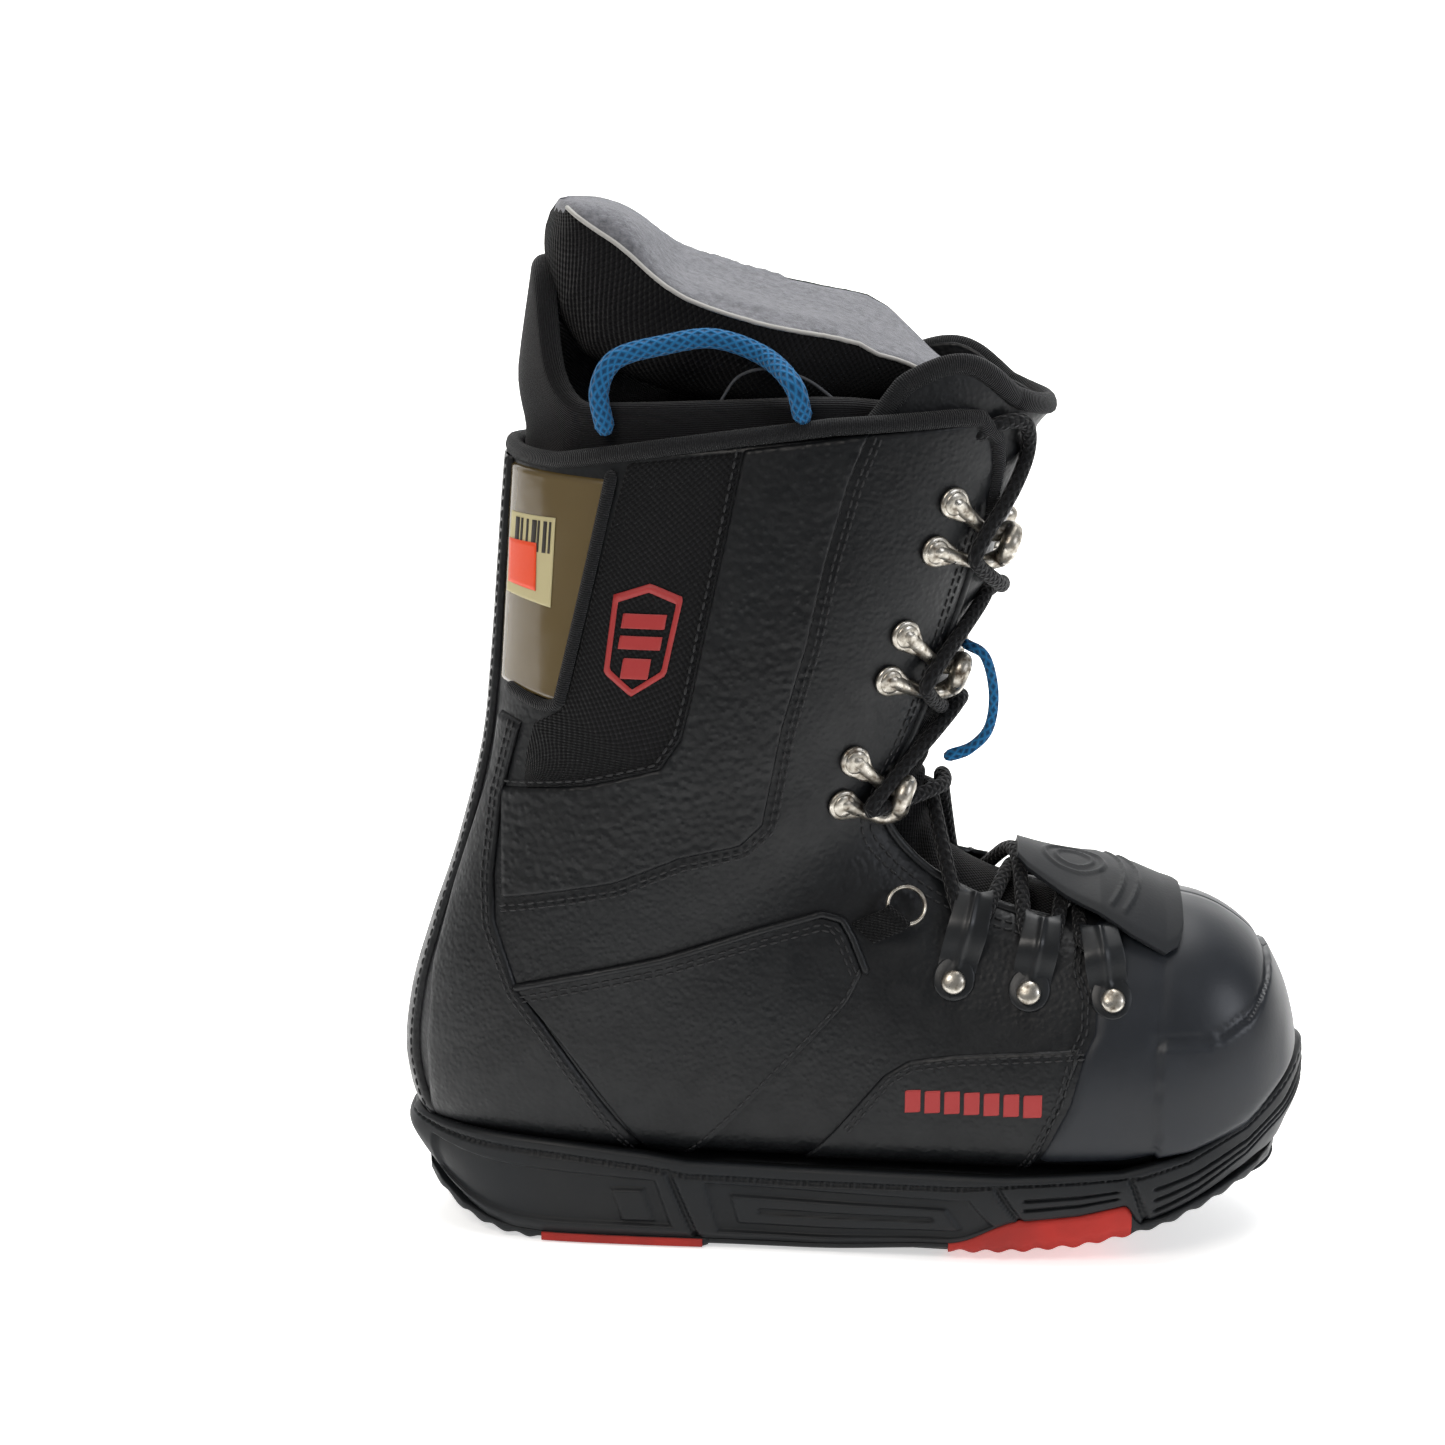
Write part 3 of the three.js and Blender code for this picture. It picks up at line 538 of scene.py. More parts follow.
def fleece(name, colour, dark):
    """Brushed polyester fleece: short tangled pile with a soft edge glow and no gloss."""
    material, tree, shader = start(name, colour, 1.0, Sheen_Weight=0.25, Sheen_Roughness=0.6,
                                   Specular_IOR_Level=0.1)
    pile = noise(tree, 2.8, 6.0, Roughness=0.75)
    tint(tree, shader, pile, [(0.3, dark), (0.7, colour)])
    bump(tree, shader, pile, 1.1)
    return material


def worn_nickel():
    """Nickel plated steel wire, bright in small worn patches at random, dull with brown specks elsewhere."""
    material, tree, shader = start("nickel_plated_steel", "#b9b4aa", 0.3, Metallic=1.0)
    speck = noise(tree, 2.5, 6.0)
    tint(tree, shader, speck, [(0.30, "#5d5348"), (0.45, "#a39d92"), (0.7, "#cfcbc2")])
    roughen(tree, shader, speck, 0.3, 0.7, 0.5, 0.22)
    bump(tree, shader, speck, 0.08)
    return material


def plain(name, colour, roughness, depth=0.03, grain=1.0, **sockets):
    """Print, thread and card: one colour with a fine uneven surface."""
    material, tree, shader = start(name, colour, roughness, **sockets)
    fine = noise(tree, grain, 3.0)
    roughen(tree, shader, fine, 0.3, 0.7, roughness - 0.06, min(1.0, roughness + 0.06))
    bump(tree, shader, fine, depth)
    return material


SMOOTH_LEATHER = leather("smooth_grain_leather", "#131517", "#0e0f11", 1.7, 0.2, 0.42)
PEBBLED_LEATHER = leather("pebbled_leather", "#111315", "#0b0c0e", 2.4, 0.4, 0.43)
TOE_RUBBER = moulded("satin_toe_rubber", "#1b1f25", "#15181d", 0.42, 1.4, 0.03, Specular_IOR_Level=0.4)
SOLE_RUBBER = moulded("moulded_sole_rubber", "#16191c", "#101214", 0.52, 1.8, 0.06, Specular_IOR_Level=0.3)
RED_RUBBER = moulded("moulded_red_rubber", "#b02a21", "#8b211a", 0.55, 1.8, 0.06, Specular_IOR_Level=0.3)
BLUE_RUBBER = moulded("moulded_blue_rubber", "#226a9e", "#1b527a", 0.5, 1.8, 0.05, Specular_IOR_Level=0.3)
KEEPER_RUBBER = moulded("matt_keeper_rubber", "#1f2124", "#181a1c", 0.6, 1.2, 0.07, Specular_IOR_Level=0.25)
GUIDE_PLASTIC = moulded("moulded_nylon_guide", "#14171a", "#0f1113", 0.36, 1.0, 0.02, Specular_IOR_Level=0.4)
NYLON_MESH = woven("ballistic_nylon", "#111214", "#020203", 2.2, 2.2, 0.35, 0.7, 0.05)
LINER_RIB = woven("ribbed_liner_cloth", "#121214", "#08080a", 0, 1.7, 0.3, 0.9, 0.1)
LINER_KNIT = woven("coarse_liner_knit", "#131315", "#030304", 2.8, 2.2, 0.5, 0.95, 0.08)
BINDING = woven("grosgrain_binding", "#141517", "#08090a", 0, 1.5, 0.35, 0.75, 0.1)
GUSSET_CLOTH = woven("gusset_cloth", "#0f1011", "#030304", 1.8, 1.8, 0.25, 0.9, 0.05)
LACE_BRAID = braid("round_lace_braid", "#121315", "#040405", 2.6, 0.3)
BLUE_BRAID = braid("blue_cord_braid", "#1f6799", "#0f3c60", 2.6, 0.35)
GREY_FLEECE = fleece("brushed_grey_fleece", "#808187", "#4f5055")
NICKEL = worn_nickel()
THREAD = plain("bonded_black_thread", "#121315", 0.6, 0.05, 0.6)
GREY_THREAD = plain("grey_elastic_thread", "#3d3f43", 0.7, 0.05, 0.6)
WHITE_PIPING = plain("white_edge_piping", "#a5a39f", 0.7, 0.05, 0.8)
RED_PRINT = plain("red_screen_print", "#9c2625", 0.5, 0.04, 0.9)
CARD = plain("cream_card", "#b8ae84", 0.7, 0.02, 1.2)
INK = plain("dark_ink", "#2a2520", 0.7, 0.01, 1.2)
ORANGE_STICKER = plain("orange_sticker", "#e2471a", 0.45, 0.01, 1.2)
AMBER_VINYL = plain("aged_clear_vinyl", "#5e4f30", 0.16, 0.25, 14.0, Coat_Weight=0.6, Coat_Roughness=0.08,
                    Specular_IOR_Level=0.6)
EVA_FOAM = plain("eva_foam", "#2b2d30", 0.9, 0.1, 1.2)


def finish(piece, material, body="boot", nodes=()):
    """Gives a piece its material and its body, and hides the CAD nodes it stands for."""
    piece.data.materials.clear()
    piece.data.materials.append(material)
    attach(piece, body)
    if nodes:
        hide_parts(*nodes)
    return piece


def puff(piece, limit=2.6, voxel=5.0):
    """Fills a closed padded piece by a short cloth simulation under pressure on a remeshed copy, and
    carries the copy's movement, at most limit millimetres, over to the piece."""
    scene = bpy.context.scene
    copy = bpy.data.objects.new(f"{piece.name}_cloth", piece.data.copy())
    scene.collection.objects.link(copy)
    remesh = copy.modifiers.new("remesh", "REMESH")
    remesh.mode = "VOXEL"
    remesh.voxel_size = voxel * MM
    bpy.context.view_layer.update()
    even_mesh = bpy.data.meshes.new_from_object(copy.evaluated_get(bpy.context.evaluated_depsgraph_get()))
    copy.modifiers.clear()
    copy.data = even_mesh
    cloth = copy.modifiers.new("cloth", "CLOTH")
    cloth.settings.use_pressure = True
    cloth.settings.uniform_pressure_force = 4.0
    cloth.settings.effector_weights.gravity = 0.0
    cloth.point_cache.frame_start = 1
    cloth.point_cache.frame_end = 20
    for frame_number in range(1, 21):
        scene.frame_set(frame_number)
    moved = copy.evaluated_get(bpy.context.evaluated_depsgraph_get()).data
    rest, now = (np.array([v.co for v in mesh.vertices], float) for mesh in (even_mesh, moved))
    change = now - rest - (now - rest).mean(0)
    length = np.linalg.norm(change, axis=1, keepdims=True)
    change = change * np.minimum(1, limit * MM / np.maximum(length, 1e-9))
    near_rest = KDTree(len(rest))
    for number, place in enumerate(rest):
        near_rest.insert(place, number)
    near_rest.balance()
    for vertex in piece.data.vertices:
        near = near_rest.find_n(vertex.co, 8)
        weight = np.array([1 / (distance + 1e-4) for _, _, distance in near])
        shift = (change[[number for _, number, _ in near]] * weight[:, None]).sum(0) / weight.sum()
        vertex.co += Vector(shift)
    scene.frame_set(1)
    bpy.data.objects.remove(copy)


# ---------- side view lines, x and z in millimetres ----------
CLOTH_EDGE = [(-36, 277), (-42, 248), (-49, 216), (-53.5, 194), (-57, 180), (-64, 169.5), (-89, 163)]
MESH_FRONT = [*CLOTH_EDGE, (-110, 160)]
MESH_BACK = [(-74, 272), (-84, 236), (-94, 196), (-97, 188), (-107, 182), (-109.5, 172), (-110, 160)]
BAND_OUTER = [(5, 282), (-1.5, 266), (-9, 239), (-15, 211), (-23, 183), (-29.5, 149), (-37, 142), (-57, 138),
              (-79, 129), (-119, 121)]
BAND_INNER = [*CLOTH_EDGE, (-119, 159)]
COUNTER_FRONT = [(-111, 182), (-118, 156), (-121, 129), (-120.5, 113), (-112.5, 91), (-103, 79), (-87, 56),
                 (-70, 33)]
COUNTER_BACK = [(-119, 184), (-122, 163.5), (-136, 123), (-144, 95), (-147, 66), (-146, 33)]
QUARTER_TOP = [(-113, 91.5), (-97, 95.5), (-64, 102.5), (-32, 112), (-10, 117.5), (-3, 115.5), (0.5, 109.5),
               (5, 99)]
QUARTER_FRONT = [(5, 99), (0, 89), (-28, 59), (-55, 30)]
QUARTER_BACK = [(-113, 91.5), (-103, 79), (-87, 56), (-70, 33)]
VAMP_PANEL_TOP = [(-3, 46), (11.5, 64), (20, 69.5), (35, 72), (60, 74), (79, 75.5)]
VAMP_PANEL_FOOT = [(-16, 31), (10, 30), (30, 30), (45, 30), (62, 31)]
CAP_EDGE_Z = [28, 34, 56, 73, 80, 91.5, 99.5, 110, 119]
CAP_EDGE_X = [60, 63, 73.5, 78, 81.5, 82, 79, 81, 90]
TOE_RIDGE = [(104, 77), (115, 76.5), (125, 78), (136, 84), (142, 92), (144, 99), (141, 106), (130, 113.5)]
WINDOW = [(-115, 268), (-79, 266), (-97, 189), (-119, 194)]


def panel(name, left, right, side, height, columns, rows, edge=1.4):
    """A leather panel over the surface: straight rungs between two side view lines, which sink to the
    leather below within the edge width, so its rim is rolled."""
    a, b = even(left, rows), even(right, rows)
    width = np.linalg.norm(a - b, axis=1).mean()
    length = sum(np.linalg.norm(np.diff(q, axis=0), axis=1).sum() for q in (a, b)) / 2
    s = ease(np.linspace(0, 1, columns)) * 0.35 + np.linspace(0, 1, columns) * 0.65
    t = np.linspace(0, 1, rows)
    xz = a[:, None] * (1 - s[None, :, None]) + b[:, None] * s[None, :, None]
    border = np.minimum(np.minimum(s, 1 - s)[None] * width, np.minimum(t, 1 - t)[:, None] * length)
    out = -0.5 + (height + 0.5) * np.sqrt(ease(border / edge))
    return thicken(grid(name, on_side(xz, side, out)), 0.7)


def stitches(name, lines, side, out, pitch=3.6, length=2.7, radius=0.42):
    """Rows of thread along side view lines: each stitch is a short capsule sunk by half."""
    capsule = [(0.25, -0.5), (0.8, -0.36), (1, -0.15), (1, 0.15), (0.8, 0.36), (0.25, 0.5)]
    shape, faces = lathe_shape(capsule, 6)
    shape = shape * [radius, radius, length]
    places, axes = [], []
    for line in lines:
        p = on_side(even(line, 240), side, out)
        total = np.linalg.norm(np.diff(p, axis=0), axis=1).sum()
        count = max(2, int(total / pitch))
        ends = even(p, 2 * count + 1)
        along = unit(ends[2::2] - ends[:-2:2])
        up = unit(np.cross(along, [0, 1.0, 0]))
        places.append(ends[1::2])
        axes.append(np.stack([up, np.cross(along, up), along], 1))
    rows = copies(name, shape, faces, np.concatenate(places), np.concatenate(axes))
    finish(rows, THREAD)


def beside(line, gap):
    """A line moved sideways by gap in the side view."""
    p = even(line, 120)
    t = tangents(p)
    return p + np.stack([-t[:, 1], t[:, 0]], 1) * gap


def rows_beside(line, *gaps):
    """Rows of stitching beside a line, one at each gap."""
    return [beside(line, gap) for gap in gaps]


# ---------- the upper ----------
def facing_turn(v):
    """How far round each station the leather reaches before the lace opening."""
    return np.interp(v, [5.8, 6.4, 12, 15, 18.6, 19.6, 20.4, 21], [178, 152, 151, 158, 157, 152, 146, 138])


def build_shell():
    """The base leather: a grid over station and turn, open along the laces above the vamp."""
    v = np.concatenate([np.linspace(4.6, 14, 60), np.linspace(14.2, RIM, 40)])[:, None]
    span = np.where(v < 5.9, 179.9, facing_turn(v))
    turn = np.linspace(-1, 1, 121)[None] * span
    near_edge = 1 - np.abs(np.linspace(-1, 1, 121)[None])
    out = -1.2 * (1 - ease(near_edge / 0.02)) * (v > 5.9)
    shell = thicken(grid("leather_shell", upper(v, turn, out)), SHELL_WALL - 0.6)
    finish(shell, SMOOTH_LEATHER, nodes=["shell_lower", "shell_cuff", "vamp"])


def cap_station(turn):
    """Station of the toe cap's rear edge at each turn, found by halving."""
    low, high = np.full_like(turn, 3.5), np.full_like(turn, 7.0)
    for _ in range(24):
        mid = (low + high) / 2
        p = upper(mid, turn)
        ahead = p[..., 0] > np.interp(p[..., 2], CAP_EDGE_Z, CAP_EDGE_X)
        low, high = np.where(ahead, mid, low), np.where(ahead, high, mid)
    return (low + high) / 2


def ridge_distance(p):
    """Distance of points of the toe from the bumper's ridge line in the side view, positive below and
    ahead of it, negative above and behind."""
    line = even(TOE_RIDGE, 60)
    xz = p[..., [0, 2]]
    gap = np.linalg.norm(xz[..., None, :] - line, axis=-1)
    nearest = gap.argmin(-1)
    t = np.gradient(line, axis=0)
    offset = xz - line[nearest]
    side = t[nearest][..., 0] * offset[..., 1] - t[nearest][..., 1] * offset[..., 0]
    from_end = xz - np.array(TOE_RIDGE[0], float)
    return np.where(from_end[..., 0] < 0, -np.hypot(from_end[..., 0], from_end[..., 1]),
                    gap.min(-1) * np.sign(-side))


def foxing_top(x):
    """Height of the sidewall's top edge along the boot."""
    return np.interp(x, [-157, -127, -98, -70, -55, -20, 53, 92, 115, 135, 150, 157],
                     [39.5, 38.5, 36.5, 33.5, 31, 30.3, 30.8, 33, 38, 47, 60, 67])


def build_toe_cap():
    """The toe cap: a grid from the tip to its rear edge, with a moulded bumper step and shallow folds."""
    turn = np.linspace(-180, 180, 181)[None]
    share = np.linspace(0, 1, 110)[:, None] ** 1.25
    v = share * cap_station(turn)
    p = upper(v, turn, 1.1)
    signed = ridge_distance(p)
    step = ease((signed + 0.9) / 1.8)
    rear = ease((1 - share) * 40 / 1.2)
    fold_x = 103 + 0.12 * (p[..., 2] - 80)
    fold = 0.35 * np.exp(-((p[..., 0] - fold_x) / 2.2) ** 2) * ease((p[..., 2] - 58) / 20)
    crease = 0.7 * np.exp(-((signed + 1.1) / 0.9) ** 2)
    tuck = 3.0 * ease((foxing_top(p[..., 0]) + 4 - p[..., 2]) / 6)
    out = -0.4 + 1.5 * np.sqrt(rear) + 1.5 * step - fold - crease - tuck
    cap = grid("toe_cap_skin", upper(v, turn, out))
    finish(thicken(cap, 1.6), TOE_RUBBER, nodes=["toe_cap"])
    edge_turn = np.linspace(14, 150, 160)
    for side, label in SIDES:
        edge = upper(cap_station(side * edge_turn), side * edge_turn)[:, [0, 2]]
        stitches(f"toe_cap_stitches_{label}", rows_beside(edge, 2.2, 4.0), side, 1.35)


def build_panels():
    """Leather and cloth panels of both sides, with their stitching."""
    quarter_foot = QUARTER_BACK + QUARTER_FRONT[-1:]
    quarter_rim = QUARTER_TOP + QUARTER_FRONT[1:]
    vamp_foot, vamp_top = even(VAMP_PANEL_FOOT, 60), even(VAMP_PANEL_TOP, 60)
    for side, label in SIDES:
        cloth = panel(f"mesh_panel_{label}", MESH_BACK, MESH_FRONT, side, 0.55, 60, 90, 0.8)
        finish(cloth, NYLON_MESH)
        band = panel(f"pebbled_band_{label}", BAND_INNER, BAND_OUTER, side, 1.25, 44, 150)
        finish(band, PEBBLED_LEATHER)
        counter = panel(f"counter_panel_{label}", COUNTER_BACK, COUNTER_FRONT, side, 1.7, 30, 110)
        quarter = panel(f"quarter_panel_{label}", quarter_foot, quarter_rim, side, 1.15, 60, 90)
        welt = tube(f"quarter_welt_{label}", on_side(even(QUARTER_TOP, 90), side, 1.0), 1.3, 10)
        vamp = panel(f"vamp_panel_{label}", vamp_foot, vamp_top, side, 1.1, 40, 70)
        for piece in (counter, quarter, welt, vamp):
            finish(piece, SMOOTH_LEATHER)
        band_rows = rows_beside(BAND_OUTER, 1.8, 3.6) + rows_beside(BAND_INNER, -1.8)
        stitches(f"band_stitches_{label}", band_rows, side, 1.35)
        stitches(f"counter_stitches_{label}", rows_beside(COUNTER_FRONT, -1.8, -3.4), side, 1.8)
        quarter_rows = rows_beside(QUARTER_TOP, -3.2, -5.0) + rows_beside(QUARTER_FRONT, -2.0)
        stitches(f"quarter_stitches_{label}", quarter_rows, side, 1.25)
        stitches(f"vamp_stitches_{label}", rows_beside(VAMP_PANEL_TOP, -1.8, -3.4), side, 1.2)


def build_backstay():
    """The strip up the back: a grid over station and turn, narrower at the top, with a row of thread
    down each edge."""
    v = np.linspace(12.1, RIM - 0.1, 90)[:, None]
    half = np.interp(v, [12.1, 14, 17, 21], [24, 20, 16, 15])
    s = np.linspace(-1, 1, 33)[None]
    out = -0.5 + 2.7 * np.sqrt(ease((1 - np.abs(s)) / 0.1))
    strip = thicken(grid("backstay_strip", upper(v, s * half, out)), 0.8)
    finish(strip, SMOOTH_LEATHER, nodes=["heel_counter", "backstay"])
    for side, label in SIDES:
        edge = upper(v[:, 0], side * half[:, 0] * 0.82, 0)[:, [0, 2]]
        stitches(f"backstay_stitches_{label}", [edge], side, 2.3)


def build_binding():
    """The ribbed binding: a flattened tube along the rim of the cuff and down the facing edges."""
    rim_turn = np.linspace(-facing_turn(RIM), facing_turn(RIM), 160)
    rise = np.interp(np.abs(rim_turn), [0, 40, 60, 100, 130, 159], [0.1, -0.15, 0.0, 0.35, 0.25, -0.3])
    v = np.linspace(18.6, RIM, 26)[:-1]
    rim = np.concatenate([upper(v, -facing_turn(v), -0.9), upper(RIM + rise, rim_turn, -0.9),
                          upper(v[::-1], facing_turn(v[::-1]), -0.9)])
    rim = even(rim, 240)
    binding = tube("collar_binding", rim, 3.0, 12, up=np.tile([0, 0, 1.0], (len(rim), 1)))
    finish(binding, BINDING)
    for side, label in SIDES:
        v = np.linspace(6.3, 18.8, 120)
        edge = tube(f"facing_edge_{label}", upper(v, side * facing_turn(v), -0.7), 1.7, 10)
        finish(edge, SMOOTH_LEATHER)
        rows = [upper(v, side * (facing_turn(v) - inset))[:, [0, 2]] for inset in (6.5, 9.5)]
        stitches(f"facing_stitches_{label}", rows, side, 0.2)


build_shell()
build_toe_cap()
build_panels()
build_backstay()
build_binding()


# ---------- the sole ----------
SOLE_PLAN = np.array([
    (-156.5, 0, 0), (-154.5, 13, 13), (-149, 22, 22), (-139, 31, 31), (-124, 38, 38), (-100, 42.5, 42.5),
    (-70, 45, 44), (-40, 46.5, 44), (-10, 49, 44.5), (20, 53, 47.5), (50, 56.5, 53.5), (75, 57.3, 57.3),
    (100, 55.5, 56), (120, 48.5, 51), (135, 40, 43), (146, 29.5, 32), (152, 19, 21), (155.5, 8, 9),
    (156.5, 0, 0)], float)


def sole_outline(count):
    """The plan outline as a smooth closed loop, from the heel along the outer side and back."""
    loop = [(x, -a) for x, a, _ in SOLE_PLAN] + [(x, b) for x, _, b in SOLE_PLAN[-2:0:-1]]
    return smooth(loop, count + 1, closed=True)[:-1]


def outline_normals(loop):
    """Unit normals of the closed plan outline, pointing out."""
    t = unit(np.roll(loop, -1, 0) - np.roll(loop, 1, 0))
    return np.stack([t[:, 1], -t[:, 0]], 1)


def groove(x, z, points, width, depth):
    """Depth of a groove along a line at places x, z: full at the line, nothing past its half width."""
    gap = np.full(x.shape, 1e9)
    for p in even(points, 160):
        gap = np.minimum(gap, np.hypot(x - p[0], z - p[1]))
    return depth * (1 - ease((gap - width * 0.35) / (width * 0.4)))


def sunken(x, z, corners, depth):
    """Depth of a sunken field inside a convex outline given anticlockwise."""
    inside = np.full(x.shape, 1e9)
    c = np.asarray(corners, float)
    for a, b in zip(c, np.roll(c, -1, 0)):
        d = (b - a) / np.linalg.norm(b - a)
        inside = np.minimum(inside, d[0] * (z - a[1]) - d[1] * (x - a[0]))
    return depth * ease(inside)


def lift(x):
    """How far the tread rises off the ground at the toe and at the heel's edge."""
    return np.interp(x, [-157, -150, -142, -134, -126, -116, -105, 40, 60, 78, 95, 108, 120, 132, 144, 157],
                     [24, 17, 11, 6.3, 3.2, 0.9, 0, 0, 1.2, 3.4, 7.4, 11.4, 16, 20.6, 23.6, 25])


def crown(x):
    """How far the tread's rim stands above its middle at the ball of the foot."""
    return 2.8 * ease((x + 15) / 50)


def rim_height(x):
    """Where the tread meets the sidewall: low on the black parts and high along the red band."""
    red = ease((x - 33) / 26) * ease((99 - x) / 6)
    return 3.5 + 8.0 * red + lift(x) + crown(x)


def sidewall_relief(x, z):
    """The moulded pattern of the sidewall, as depths: framed fields at the heel, long nested frames
    along the waist, slanting struts, and grooves that climb round the toe."""
    top = foxing_top(x)
    relief = groove(x, z - top, [(-160, -4.2), (160, -4.2)], 1.5, 0.9)
    marks = [sunken(x, z, [(-146, 12), (-60, 11), (-66, 26), (-146, 31)], 1.2),
             -sunken(x, z, [(-78, 12.5), (-66, 12.5), (-70, 23), (-82, 23)], 1.0),
             groove(x, z, [(-52, 8), (-62, 28)], 1.8, 1.1),
             sunken(x, z, [(-45, 10), (50, 9), (41, 23), (-50, 25.5)], 1.3),
             -sunken(x, z, [(-38, 12.8), (39, 11.8), (33, 20), (-41, 22)], 1.1),
             groove(x, z, [(-30, 17.2), (28, 16)], 1.6, 1.0),
             groove(x, z, [(58, 8), (50, 26)], 1.8, 1.1)]
    marks += [groove(x, z, [(60, height), (90, height + 1)], 1.7, 1.1) for height in (14.5, 19.5)]
    marks.append(groove(x, z, [(101, 8), (95, 28)], 1.8, 1.1))
    for height in (13.0, 18.5, 24.0):
        line = [(104, height), (118, height + 2), (136, height + 9), (148, height + 20), (158, height + 34)]
        marks.append(groove(x, z, line, 1.7, 1.1))
    for mark in marks:
        raised = mark.min() < 0
        relief = relief + mark if raised else np.maximum(relief, mark)
    return relief


def build_sidewall():
    """The rubber sidewall: the plan outline carried up through a profile of inset and height, with
    the moulded pattern pressed in, a rolled top lip, and an inner wall down to the midsole."""
    loop = sole_outline(1000)
    normal = outline_normals(loop)
    x = loop[:, 0][None]
    top = foxing_top(x)
    share = np.linspace(0, 1, 66)[:, None]
    foot = rim_height(x) + 0.2
    z = foot + (top - foot - 1.4) * share
    bulge = 0.9 * np.sin(np.pi * share) - 1.2 * (1 - ease(share / 0.1))
    bulge = bulge - 6.0 * (1 - share) ** 2 * ease((np.abs(x) - 112) / 38)
    toe_lean = 0.4 * ease((x - 110) / 40) * ease((share - 0.4) / 0.6)
    heel_lean = 1.6 * ease((-x - 120) / 30) * ease((share - 0.5) / 0.5)
    level = 8 + (z - foot) / (top - foot) * (top - 8)
    bulge = bulge + 1.6 * ease((z - 38) / 14) * ease((x - 108) / 25)
    out = bulge - 1.5 * sidewall_relief(np.broadcast_to(x, z.shape), level) - toe_lean - heel_lean - 0.3
    lip = [(-0.5, 0.7), (-1.3, 1.25), (-2.4, 1.3), (-3.6, 0.7), (-5.5, 0.2), (-8.5, 0.0), (-8.8, -4.0)]
    rows = [np.dstack([loop[None] + normal[None] * out[..., None], z[..., None]])]
    last_out, last_z = out[-1:], z[-1:]
    for inset, rise in lip:
        place = loop[None] + normal[None] * (last_out + inset)[..., None]
        rows.append(np.dstack([place, (last_z + rise)[..., None]]))
    wall = grid("rubber_sidewall", np.concatenate(rows), wrap=True)
    finish(wall, SOLE_RUBBER, nodes=["sole_sidewall"])


# The rear and front edge of each tread unit, its material and its record slot.
ZONES = {
    "outsole_heel": (-149.0, -48.0, SOLE_RUBBER, "rubber"),
    "arch_plate": (-48.05, 34.0, SOLE_RUBBER, "rubber"),
    "outsole_red_band": (33.95, 86.0, RED_RUBBER, "red_rubber"),
    "outsole_forefoot": (85.95, 149.0, SOLE_RUBBER, "rubber"),
}
ZONE_SLANT = 0.175
LUG_HEIGHT = 3.2
DISC_CENTRE = (-96.0, -4.0)
DISC_RADIUS = 13.5


def tread_half(x, side):
    """Half width of the tread at x on one side, drawn in at the toe and the heel."""
    place = x * (1 + 0.048 * ease((np.abs(x) - 100) / 49))
    return np.maximum(np.interp(place, SOLE_PLAN[:, 0], SOLE_PLAN[:, 1 if side < 0 else 2]) - 1.2, 0.6)


def build_tread_zone(name):
    """A tread unit: loops round its section, carried from its rear edge to its front edge. The rim
    stands lower than the field inside it and is scalloped. The ends of the red unit slant."""
    start_x, end_x, material, slot = ZONES[name]
    count = 120
    share = np.linspace(0, 1, count)[:, None]
    x = start_x + (end_x - start_x) * share
    plate = name == "arch_plate"
    # Shares of the half width, and levels: from the rim at 0 to the sidewall at 1, the field 2, the core 3.
    section = [(-1, 0.4), (-1, 0.8), (-0.995, 1), (-0.9, 1), (-0.6, 3), (0.6, 3), (0.9, 1), (0.995, 1),
               (1, 0.8), (1, 0.4), (0.985, 0), (0.9, 0), (0.87, 2), (0.5, 2), (0, 2), (-0.5, 2), (-0.87, 2),
               (-0.9, 0), (-0.985, 0)]
    y, kind = (q[None] for q in np.array(section, float).T)
    width = np.where(y < 0, tread_half(x, OUTER), tread_half(x, INNER))
    across = y * width
    slant = {"outsole_red_band": share, "outsole_forefoot": 1 - share}.get(name, 0.0)
    px = x - ZONE_SLANT * across * slant
    scallop = (0.0 if plate else 0.55) * (1 - np.cos(2 * math.pi * px / 8.5))
    rim = (1.6 if plate else 0.3) + lift(px) + crown(px) + scallop
    field = (1.6 if plate else LUG_HEIGHT) + lift(px)
    top = rim_height(px)
    core = np.maximum(field + 0.8, np.minimum(7.5 + lift(px), 24))
    z = np.where(kind == 2, field, np.where(kind == 3, core, rim + (top - rim) * np.minimum(kind, 1)))
    p = np.stack([px, across, z], -1)
    unit_piece = grid(f"{name}_unit", p, wrap=True, close_start=True, close_end=True)
    finish(unit_piece, material, nodes=[name])


def star_lug(arm, width, height):
    """Points and faces of a cross shaped lug with drafted sides, standing down from its root."""
    ring = []
    for k in range(4):
        turn = math.radians(45 + 90 * k)
        c, s = math.cos(turn), math.sin(turn)
        for a, b in ((arm, -width), (arm * 1.05, 0), (arm, width), (width * 1.25, width * 1.25)):
            ring.append((a * c - b * s, a * s + b * c))
    ring = np.array(ring)
    count = len(ring)
    levels = ((1.12, 0.6), (1.0, -height + 0.5), (0.9, -height))
    points = np.concatenate([np.column_stack([ring * k, np.full(count, h)]) for k, h in levels])
    faces = [list(range(count))] + [[2 * count + i for i in reversed(range(count))]]
    for j in range(2):
        for i in range(count):
            n = (i + 1) % count
            faces.append([j * count + i, (j + 1) * count + i, (j + 1) * count + n, j * count + n])
    return points, faces


